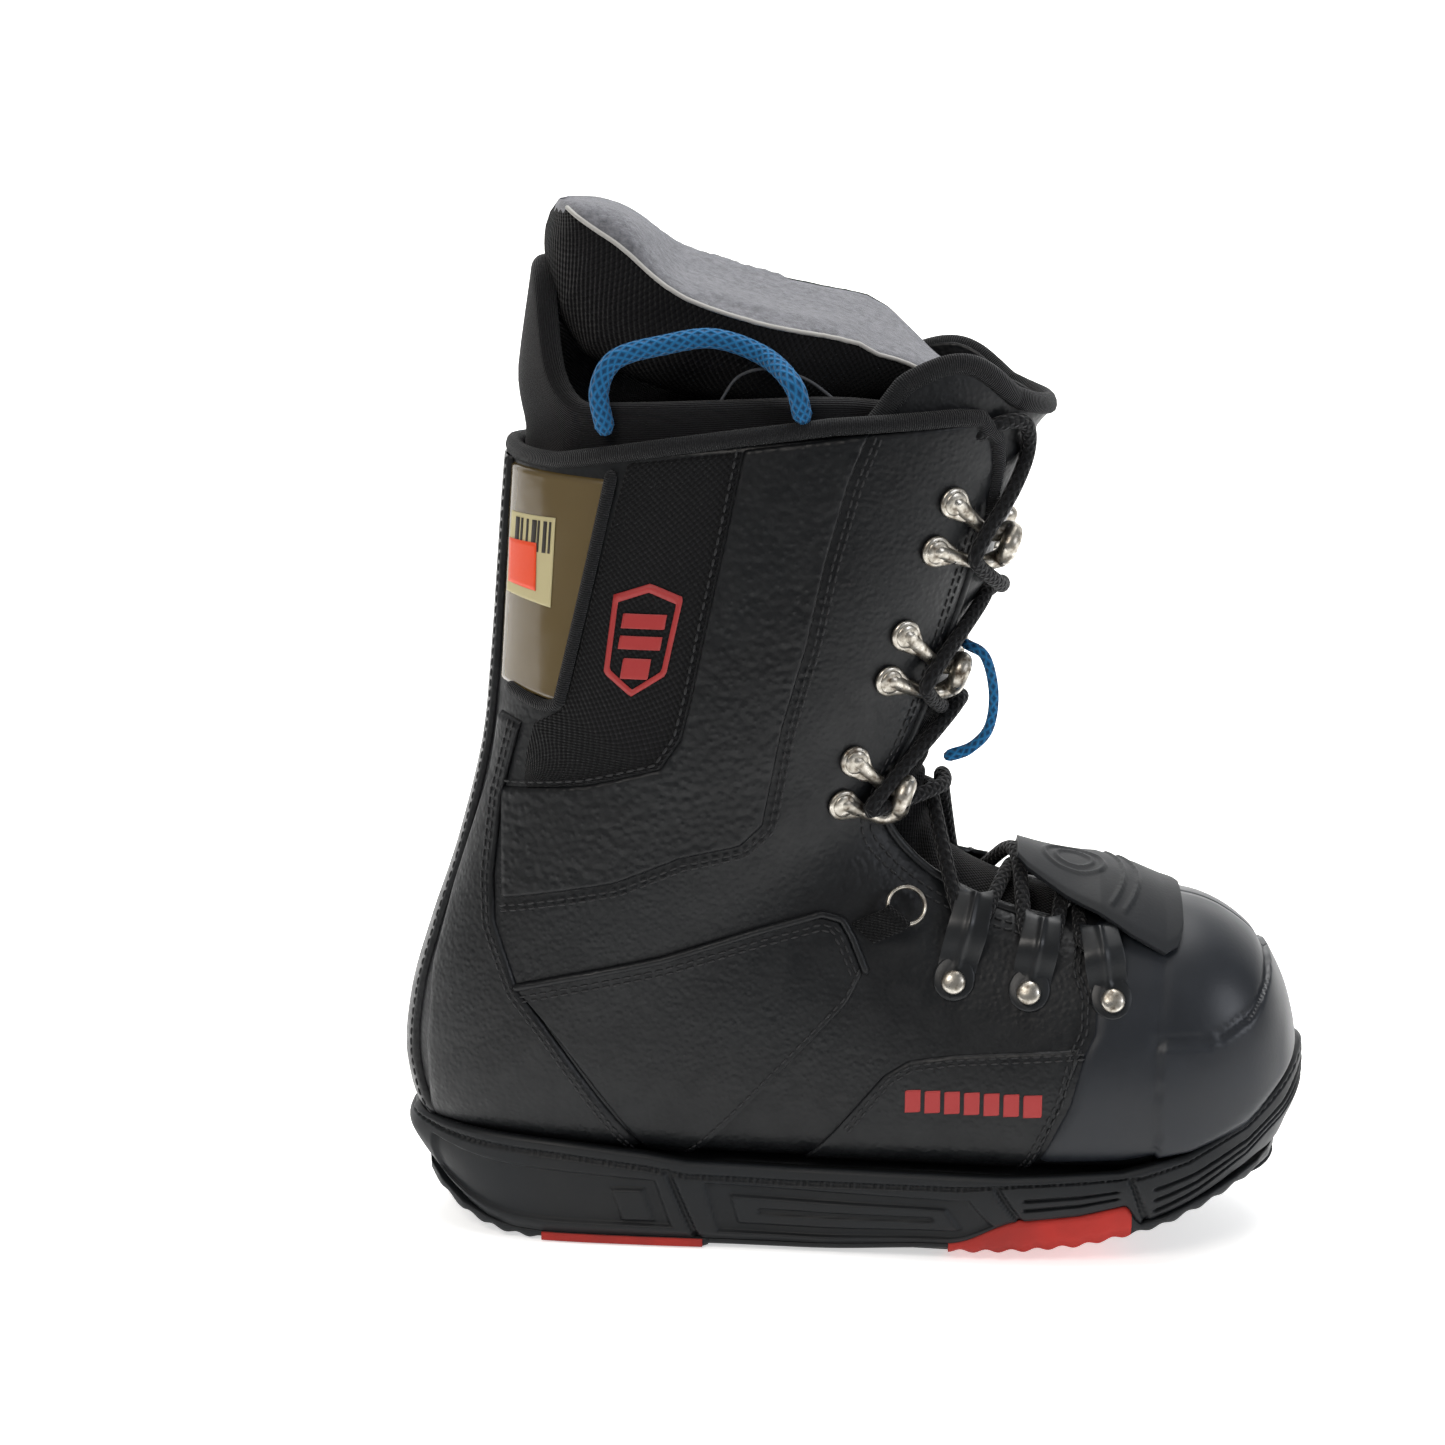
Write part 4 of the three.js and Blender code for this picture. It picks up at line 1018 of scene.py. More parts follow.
def build_lugs():
    """Cross lugs in staggered rows inside the tread's edge, clear of the heel disc."""
    shape, faces = star_lug(5.4, 1.7, LUG_HEIGHT)
    pitch = 14.5
    groups = {"outsole_heel": [], "outsole_red_band": [], "outsole_forefoot": []}
    for row in range(-11, 11):
        for column in range(-4, 5):
            x = row * pitch + 4
            y = (column + 0.5 * (row % 2)) * pitch
            room = tread_half(x, y) - abs(y)
            edge = x + ZONE_SLANT * y
            if x < -56:
                name = "outsole_heel"
            else:
                name = "outsole_red_band" if x > 40 and edge < 80 else "outsole_forefoot"
            clear = name != "outsole_forefoot" or edge > 92
            off_disc = math.hypot(x - DISC_CENTRE[0], y - DISC_CENTRE[1]) > DISC_RADIUS + 7
            if room > 15 and -142 < x < 138 and clear and off_disc:
                groups[name].append((x, y))
    for name, spots in groups.items():
        spots = np.array(spots)
        places = np.column_stack([spots, LUG_HEIGHT + lift(spots[:, 0])])
        upright = np.tile(np.eye(3), (len(places), 1, 1))
        lugs = copies(f"{name}_lugs", shape, faces, places, upright, flat=True)
        finish(lugs, ZONES[name][2])


def build_heel_strips():
    """The red strips let into the heel's rim, one on each side, along the plan outline."""
    loop = sole_outline(900)
    normal = outline_normals(loop)
    rows = np.linspace(0.5, 3.3, 5)[:, None]
    for side, label in SIDES:
        chosen = (loop[:, 1] * side > 0) & (loop[:, 0] > -106) & (loop[:, 0] < -50)
        place = loop[chosen][None] + normal[chosen][None] * (-0.75 + 0 * rows)[..., None]
        strip = grid(f"heel_strip_{label}", np.dstack([place, rows + 0 * place[..., 0]]))
        finish(thicken(strip, 1.0), RED_RUBBER)


def build_midsole():
    """The foam midsole: the plan outline drawn in, between the tread and the lasting board."""
    loop = sole_outline(240)
    loop = loop - outline_normals(loop) * 7.6
    low = np.minimum(np.maximum(lift(loop[:, 0]) + 8.3, 8.3), 24.0)
    rows = np.stack([np.column_stack([loop, low]), np.column_stack([loop, np.full(len(loop), 24.5)])])
    core = grid("midsole_core", rows, wrap=True, close_start=True, close_end=True)
    finish(core, EVA_FOAM, nodes=["midsole"])


def build_heel_disc():
    """The round inlay of the heel: a turned disc with a raised rim and three plain rings."""
    profile = [(0.2, 1.2), (4.0, 1.2), (4.3, 0.9), (5.0, 0.9), (5.3, 1.2), (8.6, 1.2), (8.9, 0.9), (9.6, 0.9),
               (9.9, 1.2), (12.4, 1.2), (12.7, 0.7), (13.3, 0.7), (DISC_RADIUS, 1.0), (DISC_RADIUS, 3.2),
               (0.2, 3.2)]
    points, faces = lathe_shape(profile, 48)
    points = points + [DISC_CENTRE[0], DISC_CENTRE[1], 0]
    disc = make("heel_disc_inlay", points, [f[::-1] for f in faces])
    finish(disc, BLUE_RUBBER, nodes=["heel_disc"])


build_sidewall()
for zone in ZONES:
    build_tread_zone(zone)
build_lugs()
build_heel_strips()
build_midsole()
build_heel_disc()


# ---------- shell tongue and gusset ----------
TONGUE_OUT = -3.5


def build_shell_tongue():
    """The outer tongue: a curved sheet over the front whose ears rise beside the opening, with ribbed
    binding along its edge."""
    s = np.linspace(-1, 1, 91)[None]
    rows = np.linspace(0, 1, 90)[:, None]
    half = np.interp(13.5 + 8.5 * rows, [13.5, 17, 21, 22.5], [47, 52, 70, 73])
    away = np.abs(s) * half
    ear = np.where(s < 0, 1.3, 1.45)
    rise = ear * np.exp(-((away - 52) / 20.0) ** 2) + 0.12 - 0.35 * np.exp(-(away / 25) ** 2)
    fall = -0.9 * ease((np.abs(s) - 0.9) / 0.1)
    v = 13.5 + (RIM + 0.45 - 13.5 + rise + fall) * rows
    turn = 180 + s * half
    pushed = np.clip(1 - (away / 27) ** 2, 0, 1) * ease((v - 12.6) / 1.2)
    out = TONGUE_OUT + pushed * (5.6 + 1.1 * np.sin(v * 5.2))
    p = upper(v, turn, out)
    finish(thicken(grid("outer_tongue_sheet", p), 2.4), SMOOTH_LEATHER, nodes=["shell_tongue"])
    along = np.gradient(even(p[-1], 150), axis=0)
    out_of_sheet = np.cross(along, even(unit(p[-1] - p[-2]), 150))
    edge = even(p[-1] - [0, 0, 1.2], 150)
    binding = tube("outer_tongue_binding", edge, 3.6, 12, up=out_of_sheet, flat=0.62)
    finish(binding, BINDING)


def build_gusset():
    """The bellows behind the lower laces: a sheet over the instep with soft cross folds."""
    v = np.linspace(5.7, 14.6, 110)[:, None]
    turn = 180 + np.linspace(-1, 1, 61)[None] * 42
    pushed = np.clip(1 - ((turn - 180) / 27) ** 2, 0, 1)
    out = -4.0 + pushed * (1.0 + (6.5 + 0.8 * np.sin(v * 7)) * ease((v - 8.6) / 2))
    sheet = thicken(grid("gusset_sheet", upper(v, turn, out)), 1.2)
    finish(sheet, GUSSET_CLOTH, nodes=["gusset"])


build_shell_tongue()
build_gusset()


# ---------- liner ----------
LINER_OUT, LINER_IN = -4.6, -12.2


def liner_height(turn):
    """Station of the liner's top edge round the boot: a high back, then a lower side wall, which
    comes down later on the inner side."""
    a = np.where(turn > 0, turn * (1 - 0.42 * ease((100 - turn) / 45)), -turn)
    back = 24.5 - 0.25 * (a / 14) ** 2
    side = 22.15 - 0.35 * ease((a - 95) / 30)
    return back + (side - back) * ease((a - 13) / 40)


def build_liner():
    """The liner's cuff: outer wall, a round top and inner wall over station and turn, and the padded
    foot below it."""
    turn = np.linspace(-128, 128, 161)[None]
    top = liner_height(turn)
    scale = np.linalg.norm(upper(top + 0.1, turn) - upper(top - 0.1, turn), axis=-1) / 0.2
    radius = (LINER_OUT - LINER_IN) / 2
    bend = np.linspace(0, math.pi, 15)[:, None]
    middle = (LINER_OUT + LINER_IN) / 2
    wall = np.linspace(0, 1, 70)[:, None]
    tuck = -3.2 * ease((np.abs(turn) - 98) / 9)
    outer_v = 8.2 + (top - radius / scale - 8.2) * wall
    rounded_v = top + (np.sin(bend) - 1) * radius / scale
    v = np.concatenate([outer_v, rounded_v[1:-1], outer_v[::-1]])
    over_top = middle + np.cos(bend[1:-1]) * radius + 0 * turn
    out = [np.full_like(outer_v, LINER_OUT), over_top, np.full_like(outer_v, LINER_IN)]
    out = np.concatenate(out) + tuck
    out = out + 5.0 * ease((v - 21.3) / 1.4) * ease((80 - np.abs(turn)) / 30)
    cuff = grid("liner_cuff_pad", upper(v, turn, out))
    finish(thicken(cuff, 0.6), LINER_RIB, nodes=["liner_cuff"])
    rows = np.linspace(0, 1, 50)[:, None] ** 1.2 * 8.4
    around = np.linspace(-180, 180, 81)[None]
    foot = grid("liner_foot_pad", upper(rows + 0.05, around, -6.6))
    finish(thicken(foot, 4.2), LINER_RIB, nodes=["liner_foot"])
    front = 180 + np.linspace(-1, 1, 51)[None] * 44
    v = np.linspace(8.6, 20.4, 80)[:, None]
    base = grid("liner_tongue_base_pad", upper(v, front, -8.2))
    finish(thicken(base, 8.0), LINER_KNIT, nodes=["liner_tongue_base"])


LEAF_LINE = [(27, 297), (14, 303), (-6, 308.5), (-34, 315), (-62, 325), (-86, 339.5), (-102, 351)]
LEAF_HALF = [23, 30, 36, 37, 33, 27, 21]
LEAF_BELLY = [(0, 10), (0.15, 20), (0.35, 27), (0.55, 30), (0.75, 33), (0.85, 28), (0.93, 16), (1, 10)]


def leaf_dish(s, share):
    """How far the leaf's middle surface stands above its line: s runs from -1 to 1 across the leaf. Both
    edges rise, and near the front the inner edge rises more."""
    dish = 8.5 * s**2 * (1 - 0.45 * share) * np.clip(share / 0.2, 0, 1)
    return dish + 5.0 * s * (1 - ease((share - 0.6) / 0.25)) * np.clip(share / 0.15, 0, 1)


def build_leaf():
    """The free leaf of the tongue: a closed padded form. Its section is an ellipse bent to a dish,
    carried along a side view line from the front of the opening to the top of the liner's back."""
    rows, columns = 96, 48
    line = smooth([(x, 0, z) for x, z in LEAF_LINE], rows)
    half = np.interp(np.linspace(0, 1, rows), np.linspace(0, 1, len(LEAF_HALF)), LEAF_HALF)
    cap = np.sqrt(1 - np.clip((np.linspace(0, 1, rows) - 0.92) / 0.0805, 0, 0.997) ** 2)
    half = half * cap
    t = tangents(line)
    normal = np.stack([t[:, 2], 0 * t[:, 0], -t[:, 0]], 1)
    a = circle(columns)[None]
    s = np.sign(np.cos(a)) * np.abs(np.cos(a)) ** 0.8
    share = np.linspace(0, 1, rows)[:, None]
    top = 5.4 + 8.5 * np.exp(-((share - 0.85) / 0.13) ** 2)
    belly = np.interp(share, *np.array(LEAF_BELLY, float).T)
    thick = np.where(np.sin(a) > 0, top, belly) * cap[:, None]
    lift_up = np.sign(np.sin(a)) * np.abs(np.sin(a)) ** 0.9 * thick
    p = line[:, None] + normal[:, None] * (lift_up + leaf_dish(s, share))[..., None]
    p[..., 1] += s * half[:, None]
    leaf = grid("tongue_leaf_pad", p, wrap=True, close_start=True, close_end=True)
    finish(leaf, LINER_KNIT, "tongue_leaf", nodes=["liner_tongue"])
    leaf.data.materials.append(GREY_FLEECE)
    centre = np.array([q.center for q in leaf.data.polygons]) / MM
    nearest = np.abs(centre[:, None, 0] - line[None, :, 0]).argmin(1)
    above = ((centre - line[nearest]) * normal[nearest]).sum(1)
    spread_y = centre[:, 1] / np.maximum(half[nearest], 1)
    level = leaf_dish(spread_y, nearest / rows)
    leaf.data.polygons.foreach_set("material_index", (above > level + 0.4).astype(int))
    leaf.data.update()
    puff(leaf)
    puffed = np.array([v.co for v in leaf.data.vertices])[:rows * columns].reshape(rows, columns, 3) / MM
    for side, label in SIDES:
        column = 0 if side > 0 else columns // 2
        edge = puffed[4:-3, column] + normal[4:-3] * 0.7
        piping = tube(f"leaf_piping_{label}", edge, 0.75, 8)
        finish(piping, WHITE_PIPING if side < 0 else BINDING, "tongue_leaf")


build_liner()
build_leaf()


# ---------- lace hardware ----------
# In side view: the rear ends of a hook's two arms and its nose, a guide's rivet and far end, and the
# place of a ring.
HOOKS = {
    "low": [(0.5, 170.3), (-3.4, 155), (10.5, 151.5)],
    "middle": [(16.8, 213.5), (11.7, 198), (27, 194)],
    "top": [(32.2, 257.8), (26.5, 241.7), (42.3, 239.3)],
}
GUIDES = {
    "rear": [(34.7, 95), (41, 121)],
    "middle": [(60, 92), (64.5, 113)],
    "front": [(88, 90), (82.5, 110.5)],
}
RING_AT = (17.0, 118.0)


def surface_axes(xz, towards, side):
    """Place and three directions on the surface: forward to a second place, across, and out."""
    xz = np.array(xz, float)
    place = on_side(xz, side)
    out = side_normal(xz, side)
    forward = on_side(np.array(towards, float), side) - place
    forward -= out * forward.dot(out)
    forward /= np.linalg.norm(forward)
    return place, np.stack([forward, np.cross(out, forward), out])


def rivet(name, profile, place, axes, node):
    """A domed rivet head standing on the surface."""
    points, faces = lathe_shape(profile, 32)
    finish(make(name, points @ axes + place, faces), NICKEL, nodes=[node])


def build_hook(name, side, label):
    """A lace hook: one wire bent to a U that runs forward along the leather and curls up at its nose,
    two teardrop pads pressed from the wire's ends, and a domed rivet through each."""
    high, low, nose = (np.array(q, float) for q in HOOKS[name])
    gap = (high - low) / 2
    route = []
    for end, sign in ((high, 1.0), (low, -1.0)):
        front = nose + gap * 0.6 * sign
        arm = [(end, 1.0), (end * 0.6 + front * 0.4, 1.1), (end * 0.22 + front * 0.78, 1.5), (front, 3.2),
               (nose + [1.8, 0] + gap * 0.6 * sign, 6.6), (nose + [0.8, 0] + gap * 0.42 * sign, 9.2)]
        route.append([on_side(q, side, out) for q, out in arm])
    path = smooth(route[0] + [on_side(nose, side, 10.2)] + route[1][::-1], 90)
    share = np.abs(np.linspace(-1, 1, 90))
    radius = np.interp(share, [0, 0.22, 0.42, 0.6, 1], [3.3, 3.3, 2.5, 2.2, 3.0])
    wire = tube(f"hook_wire_{name}_{label}", path, radius, 14)
    pads = []
    for end, sign in ((high, 1.0), (low, -1.0)):
        front = nose + gap * 0.42 * sign
        place, axes = surface_axes(end, front, side)
        a = circle(40)
        reach = 5.4 + 4.2 * np.exp(-((np.angle(np.exp(1j * a))) / 0.5) ** 2)
        ring = np.stack([np.cos(a) * reach, np.sin(a) * reach * 0.98, 0 * a], 1)
        levels = [(0.9, 0.3), (1.0, 0.55), (1.0, 1.5), (0.9, 1.95), (0.62, 2.0)]
        pads.append(stacked("pad", ring, levels, place, axes))
    hook = join(f"hook_wire_{name}_{label}", [wire, *pads])
    finish(hook, NICKEL, nodes=[f"hook_{name}_{label}"])
    for number, end in ((1, high), (2, low)):
        spot = f"{name}_{number}_{label}"
        profile = [(4.1, 1.9), (4.1, 2.3), (3.8, 2.6), (2.9, 2.9), (1.6, 3.05), (0.4, 3.1)]
        rivet(f"hook_rivet_head_{spot}", profile, *surface_axes(end, nose, side), f"hook_rivet_{spot}")


def build_guide(name, side, label):
    """A moulded lace guide: a strap that starts round at its rivet, rises over the lace and ends in a
    notch, with a raised rib down its middle. Out follows a smooth step along the strap."""
    foot, end = (np.array(q, float) for q in GUIDES[name])
    place, axes = surface_axes(foot, end, side)
    reach = np.linalg.norm(on_side(end, side) - place)
    rows, columns = 46, 25
    s = np.linspace(-1, 1, columns)[None]
    share = np.linspace(0, 1, rows)[:, None]
    notch = 3.2 * (1 - np.abs(s)) ** 0.8
    along = -6.2 + (reach + 6.4 - notch * ease((share - 0.5) / 0.5)) * share
    rounded = np.sqrt(np.clip(1 - np.clip((3.0 - (along + 6.2)) / 3.0, 0, 1) ** 2, 0.02, 1))
    half = np.interp(share, [0, 0.2, 0.6, 1], [5.4, 6.3, 6.9, 6.0]) * rounded
    step = ease((along - reach * 0.2) / (reach * 0.45))
    rib = 0.8 * np.exp(-(s / 0.16) ** 2) * ease((along - 4.5) / 2)
    out = 1.4 + 5.6 * step + rib - 0.7 * s**2 - 1.6 * ease((along - reach + 4) / 5)
    xz = foot + (end - foot) * (along / reach)[..., None]
    across = s * half
    p = on_side(xz, side, out) + across[..., None] * axes[1]
    strap = thicken(grid(f"guide_strap_{name}_{label}", p), 1.5, bevel=0.35)
    finish(strap, GUIDE_PLASTIC, nodes=[f"lace_guide_{name}_{label}"])
    a = circle(36)
    ring = np.stack([np.cos(a) * 7.6 + 1.5, np.sin(a) * 7.0, 0 * a], 1)
    levels = [(1.0, 0.1), (1.0, 0.7), (0.93, 1.0), (0.5, 1.05)]
    base = stacked(f"guide_base_{name}_{label}", ring, levels, place, axes)
    finish(base, GUIDE_PLASTIC)
    profile = [(4.1, 2.3), (4.1, 2.9), (3.8, 3.5), (3.0, 4.0), (1.7, 4.35), (0.4, 4.45)]
    rivet(f"guide_rivet_head_{name}_{label}", profile, place, axes, f"guide_rivet_{name}_{label}")


def build_ring(side, label):
    """The lace ring: half round wire bent to a circle, held in a loop of webbing sewn to the leather."""
    axes = surface_axes(RING_AT, (RING_AT[0] + 5, RING_AT[1] + 5), side)[1]
    low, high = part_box(f"lace_ring_{label}")
    centre = (np.array(low) + np.array(high)) / 2 / MM
    a, b = circle(64)[:, None], circle(14)[None]
    r = 6.4 + 0.75 * np.cos(b)
    p = (centre + (r * np.cos(a))[..., None] * axes[0] + (r * np.sin(a))[..., None] * axes[1]
         + (1.25 * np.sin(b) + 0 * a)[..., None] * axes[2])
    p = np.concatenate([p, p[:1]])
    ring = grid(f"lace_ring_wire_{label}", p, wrap=True)
    finish(ring, NICKEL, f"ring_{label}", nodes=[f"lace_ring_{label}"])
    hold = centre - axes[0] * 6.4
    root = on_side((RING_AT[0] - 13, RING_AT[1] - 7), side, 0.9)
    ahead, up = axes[0], axes[2]
    arc = [root, (root + hold) / 2 + up * 0.6, hold + up * 2.4 - ahead * 0.3, hold + ahead * 2.6,
           hold - up * 2.4, (root + hold) / 2 - up * 1.4, root - up * 0.6]
    line = smooth(arc, 40)
    s = np.linspace(-1, 1, 9)[None, :, None]
    webbing = thicken(grid(f"ring_webbing_{label}", line[:, None] + s * 5.0 * axes[1]), 0.9, offset=0)
    finish(webbing, GUSSET_CLOTH)


for side, label in SIDES:
    for name in HOOKS:
        build_hook(name, side, label)
    for name in GUIDES:
        build_guide(name, side, label)
    build_ring(side, label)


# ---------- laces ----------
def lace_route(first_side, over):
    """A strand's points: under each guide, over the arms of each hook, and across
    the front between them, one strand over the other. The last stretch tucks in behind the tongue."""
    guides = (np.array(GUIDES[n], float) for n in ("front", "middle", "rear"))
    stops = [foot * 0.25 + end * 0.75 for foot, end in guides]
    stops += [(HOOKS[n][2][0] - 5.5, HOOKS[n][2][1] + 0.5) for n in ("low", "middle", "top")]
    heights = [2.9, 2.9, 2.9, 5.9, 5.9, 5.9]
    points, side = [], first_side
    for k, (stop, height) in enumerate(zip(stops, heights)):
        v, turn = locate(stop)
        if k:
            before, _ = locate(stops[k - 1])
            v_mid = (v + before) / 2
            bulge = (-0.8, -0.8, -0.8, 4.8, 3.8, 3.8)[k]
            points.append(upper(v_mid - 0.1, -side * 172, over + bulge))
            points.append(upper(v_mid + 0.1, side * 172, over + bulge))
        points.append(upper(v - 0.22, side * turn, height))
        points.append(upper(v + 0.22, side * turn, height))
        side = -side
    top, turn = locate(stops[-1])
    last = -side
    tail = [(top + 0.9, turn + 8, 5.6), (RIM - 1.3, 163, 3.4), (RIM - 0.35, 156, 1.8), (RIM - 0.15, 147, 0.0),
            (RIM - 0.45, 139, -1.8)]
    points += [upper(v, last * turn, out) for v, turn, out in tail]
    return points


def build_laces():
    """The two crossing strands of the lace."""
    for name, first, over in (("lace_strand_a", OUTER, 0.4), ("lace_strand_b", INNER, 5.4)):
        path = smooth(lace_route(first, over), 420)
        finish(tube(f"{name}_braid", path, LACE_RADIUS, 14), LACE_BRAID, nodes=[name])


build_laces()


# ---------- lace keeper ----------
def build_keeper():
    """The keeper leaf: a moulded rubber sheet draped over the instep and leaning to the outer side,
    narrow at its rear and square at its front, with plain curved ribs raised on it."""
    rows, columns = 90, 61
    share = np.linspace(0, 1, rows)
    stations = np.linspace(1.5, 9, 300)
    top = upper(stations[:, None], np.array([[180.0]]))[:, 0, 0]
    order = np.argsort(top)
    v = np.interp(55 + 58 * share, top[order], stations[order])
    turns = np.linspace(100, 260, 161)
    reach = upper(v[:, None], turns[None])[..., 1]
    half = np.interp(share, [0, 0.06, 0.3, 0.7, 0.9, 0.97, 1], [9, 12, 18, 24, 25, 22, 16])
    s = np.linspace(-1, 1, columns)[None]
    y = -3 - 8 * share[:, None] + s * half[:, None]
    turn = np.array([np.interp(-y[k], -reach[k], turns) for k in range(rows)])
    px, py = share[:, None] * 58, s * half[:, None]
    ribs = 0
    for radius in (8.5, 5.2):
        gap = np.abs(np.hypot((px - 20) * 0.8, py) - radius)
        ribs = ribs + 0.7 * (1 - ease((gap - 0.35) / 0.55))
    for x in (38, 43):
        gap = np.abs(np.hypot(px - x + 34, py) - 34)
        ribs = ribs + 0.7 * (1 - ease((gap - 0.35) / 0.55)) * (np.abs(py) < half[:, None] - 4)
    edge = 0.7 * ease(np.minimum(1 - np.abs(s), 0.12) / 0.12)
    out = np.interp(share, [0, 0.5, 0.75, 0.9, 1], [9.5, 9.8, 6.4, 3.8, 3.0])[:, None] + ribs + edge
    keeper = grid("keeper_leaf", upper(v[:, None], turn, out))
    thicken(keeper, 2.2, bevel=0.4)
    finish(keeper, KEEPER_RUBBER, "keeper", nodes=["lace_keeper"])


build_keeper()


# ---------- loops ----------
def build_loops():
    """The blue braided pull loop, the flat blue ribbon at the front, and the thin grey thread loop."""
    a, b = on_side((-82, 283), OUTER, -0.4), on_side((-17, 288), OUTER, -0.4)
    route = [a, a + [-1.5, -2.0, 12], a + [4, -1, 22], (-62, a[1] + 1, 309.5), (-46, a[1] + 2, 311.5),
             (-30, a[1] + 2, 306), b + [-3, -1.6, 10], b]
    loop = tube("pull_loop_braid", smooth(route, 110), 3.3, 16)
    finish(loop, BLUE_BRAID, "pull_loop", nodes=["pull_loop"])
    hang = [(38, -13, 206), (44.5, -15, 202), (47.5, -17, 190), (46, -18, 178), (40, -17.5, 171),
            (33, -16.5, 168)]
    facing = np.tile([1.0, 0.15, 0.2], (60, 1))
    ribbon = tube("front_ribbon_loop", smooth(hang, 60), 2.2, 12, up=facing, flat=0.8)
    finish(ribbon, BLUE_BRAID, "front_loop", nodes=["front_loop"])
    thread = [(-44, -40, 291), (-38, -38, 299), (-28, -37, 301.5), (-16, -37, 298), (-6, -38, 291)]
    finish(tube("grey_thread_loop", smooth(thread, 60), 0.55, 8), GREY_THREAD)


build_loops()


# ---------- window, labels and prints ----------
def flat_patch(name, corners, out, material, columns=24, rows=30):
    """A thin flat field behind the window. Its corners go from the top rear one round by the front."""
    top_rear, top_front, low_front, low_rear = corners
    a, b = even([low_rear, top_rear], rows), even([low_front, top_front], rows)
    s = np.linspace(0, 1, columns)[None, :, None]
    p = on_side(a[:, None] * (1 - s) + b[:, None] * s, OUTER, out)
    finish(thicken(grid(name, p), 0.18, offset=1), material)


def build_window():
    """The clear pocket on the outer side: amber vinyl with a welted edge over a card with bars and a
    blank sticker."""
    top_rear, top_front, low_front, low_rear = WINDOW
    (x1, z1), (x2, z2), (x3, z3) = WINDOW[1:]
    rear, front = [low_rear, top_rear], [low_front, top_front]
    vinyl = panel("window_vinyl", rear, front, OUTER, 1.1, 30, 60, 1.0)
    finish(vinyl, AMBER_VINYL, nodes=["size_window"])
    edge = [(x1, z1 + 1), (x1 - 1, z1 - 4), (-87, 232), (x2 + 1, z2 + 6), (x2 - 1, z2 + 1), (x2 - 7, z2),
            (x3 + 5, z3 - 1)]
    welt = tube("window_welt", on_side(smooth(edge, 90), OUTER, 1.0), 2.1, 12)
    finish(welt, BINDING)
    card = [(-113.5, 252), (-97.5, 252), (-99.5, 222), (-115.5, 225)]
    flat_patch("label_card", card, 1.25, CARD)
    for k, width in enumerate((1.4, 0.7, 0.7, 1.6, 0.7, 1.2, 0.7)):
        x = -111.5 + 2.0 * k
        bar = [(x, 250.5), (x + width, 250.5), (x + width - 0.8, 240), (x - 0.8, 240)]
        flat_patch(f"label_bar_{k + 1}", bar, 1.45, INK, 3, 8)
    tag = [(-114, 243), (-104, 243), (-104.5, 227), (-114.5, 228.5)]
    flat_patch("blank_sticker", tag, 1.6, ORANGE_STICKER, 12, 12)


PRINT_WALL = 0.15
BADGE_MIDDLE = (-70, 211)
BADGE_OUT = 0.75
MARK_OUT = 1.2


def outline_patch(name, outline, out):
    """A flat print: rings of the outline shrunk to its middle and laid on the surface."""
    middle = outline.mean(0)
    shares = np.linspace(1, 0.02, 8)[:, None, None]
    xz = middle + (outline[None] - middle) * shares
    patch = grid(name, on_side(xz, OUTER, out), wrap=True, close_end=True, flip=False)
    finish(thicken(patch, PRINT_WALL, offset=1), RED_PRINT)


def leaned(outline):
    """An outline of the badge, slanted so that its top stands further forward."""
    return outline + np.stack([(outline[:, 1] - BADGE_MIDDLE[1]) * 0.18, 0 * outline[:, 1]], 1)


def shield(w, h):
    """A plain shield about the badge's middle, w to each side and h up and down."""
    cx, cz = BADGE_MIDDLE
    corners = [(cx - w, cz + h), (cx, cz + h * 1.25), (cx + w, cz + h), (cx + w * 0.9, cz - h * 0.55),
               (cx, cz - h), (cx - w * 0.9, cz - h * 0.55)]
    return leaned(ring_of(corners, 60))


def build_prints():
    """Generic red prints: a plain framed shield on the cloth and a row of plain blocks on the vamp."""
    rings = np.stack([shield(11.5, 17), shield(9.6, 14.6)])
    border = grid("badge_frame", on_side(rings, OUTER, BADGE_OUT), wrap=True, flip=False)
    finish(thicken(border, PRINT_WALL, offset=0), RED_PRINT)
    cx = BADGE_MIDDLE[0]
    for k, (low, high, w) in enumerate(((217, 222, 7.2), (210, 214.5, 7.0), (200, 207, 4.6))):
        corners = [(cx - w, low), (cx + w, low), (cx + w, high), (cx - w, high)]
        outline_patch(f"badge_bar_{k + 1}", leaned(ring_of(corners, 40)), BADGE_OUT)
    for k in range(7):
        x = 19.0 + 6.6 * k
        width = 5.2 if k < 6 else 6.2
        corners = [(x, 52), (x + width, 52.4), (x + width, 60), (x, 59.6)]
        outline_patch(f"side_mark_{k + 1}", ring_of(corners, 28), MARK_OUT)


build_window()
build_prints()

# The footbed and the lasting board show as they are, in foam.
for name in ("footbed", "lasting_board"):
    node = frame["nodes"][name]
    node.data.materials.clear()
    node.data.materials.append(EVA_FOAM)


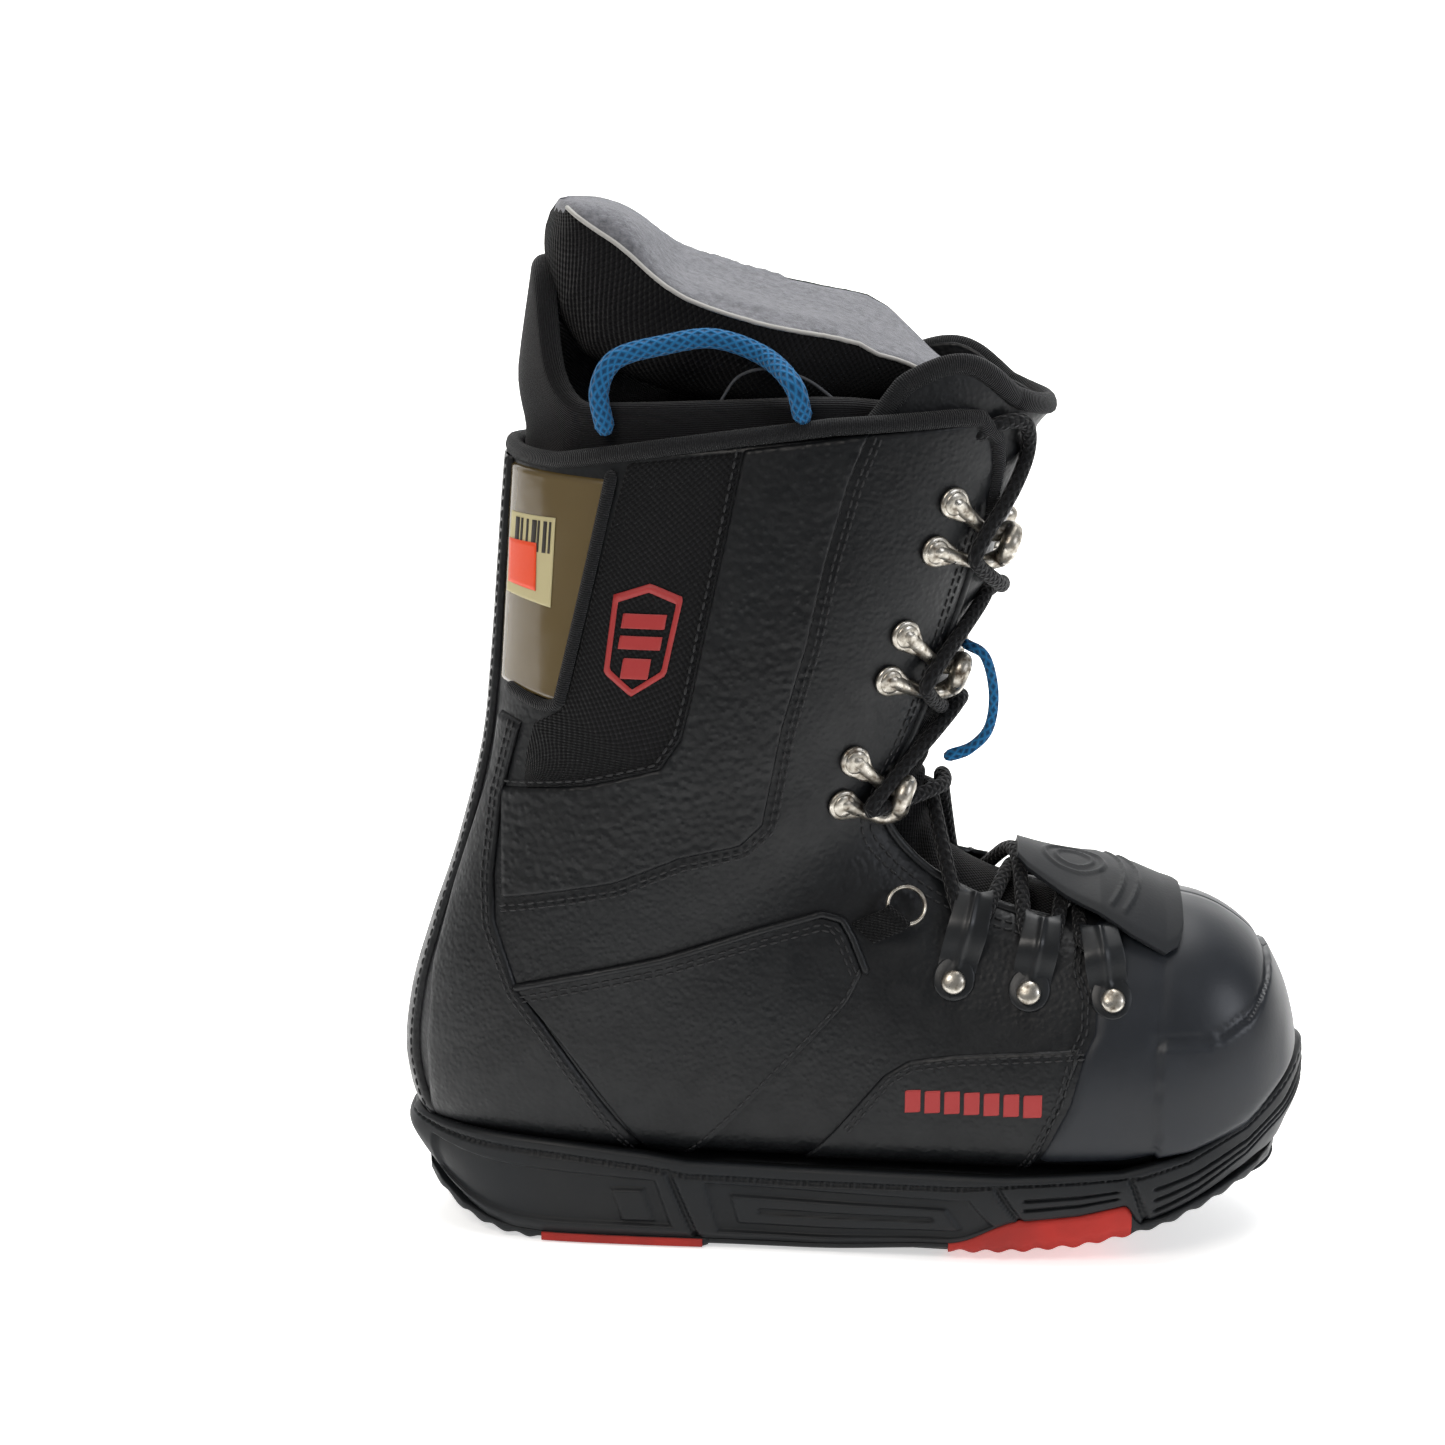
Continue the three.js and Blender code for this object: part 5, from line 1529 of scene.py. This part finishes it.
# ---------- camera, light and floor ----------
def build_studio():
    """The camera at the boot's outer side, four round soft lights, a dim world and a pale sweep."""
    target = Vector((-0.045, 0.0, 0.175))
    azimuth, elevation, distance = math.radians(2.5), math.radians(12.5), 1.15
    level = math.cos(elevation)
    direction = Vector((math.sin(azimuth) * level, -math.cos(azimuth) * level, math.sin(elevation)))
    data = bpy.data.cameras.new("camera")
    data.lens = 83
    data.sensor_width = 36
    data.clip_end = 50
    camera = bpy.data.objects.new("camera", data)
    camera.location = target + direction * distance
    camera.rotation_euler = (-direction).to_track_quat("-Z", "Y").to_euler()
    bpy.context.scene.collection.objects.link(camera)
    bpy.context.scene.camera = camera
    for name, place, size, power, colour in (
            ("key", (-0.8, -1.5, 1.6), 1.0, 19, "#fff9f2"), ("side", (1.6, -0.9, 0.8), 0.8, 9, "#f2f6ff"),
            ("top", (0.1, 0.1, 1.9), 1.2, 14, "#ffffff"), ("wall", (0.0, 0.9, 2.2), 2.0, 60, "#ffffff")):
        light = bpy.data.lights.new(name, "AREA")
        light.shape = "DISK"
        light.size = size
        light.energy = power
        light.color = linear(colour)[:3]
        lamp = bpy.data.objects.new(name, light)
        lamp.location = place
        aim = Vector((0, 2.6, 0.2)) if name == "wall" else Vector((0, 0, 0.15))
        lamp.rotation_euler = (aim - Vector(place)).to_track_quat("-Z", "Y").to_euler()
        bpy.context.scene.collection.objects.link(lamp)
    world = bpy.data.worlds.new("studio")
    world.use_nodes = True
    background = world.node_tree.nodes["Background"]
    background.inputs["Color"].default_value = linear("#f7f8fa")
    background.inputs["Strength"].default_value = 0.22
    bpy.context.scene.world = world
    x = np.linspace(-6000, 6000, 9)
    a = np.linspace(0, math.pi / 2, 12)
    y = np.concatenate([[-450, 0, 1200], 1600 + 900 * np.sin(a), [2500, 2500]])
    z = np.concatenate([[0, 0, 0], 900 - 900 * np.cos(a), [2500, 5000]]) - 0.2
    p = np.stack(np.broadcast_arrays(x[None], y[:, None], z[:, None]), -1)
    sweep = grid("studio_sweep", p, flip=False)
    paper, _, shader = start("pale_backdrop_paper", "#f6f6f5", 0.95, Emission_Strength=0.55)
    shader.inputs["Emission Color"].default_value = linear("#ffffff")
    sweep.data.materials.append(paper)
    bpy.context.scene.view_settings.view_transform = "Standard"


build_studio()
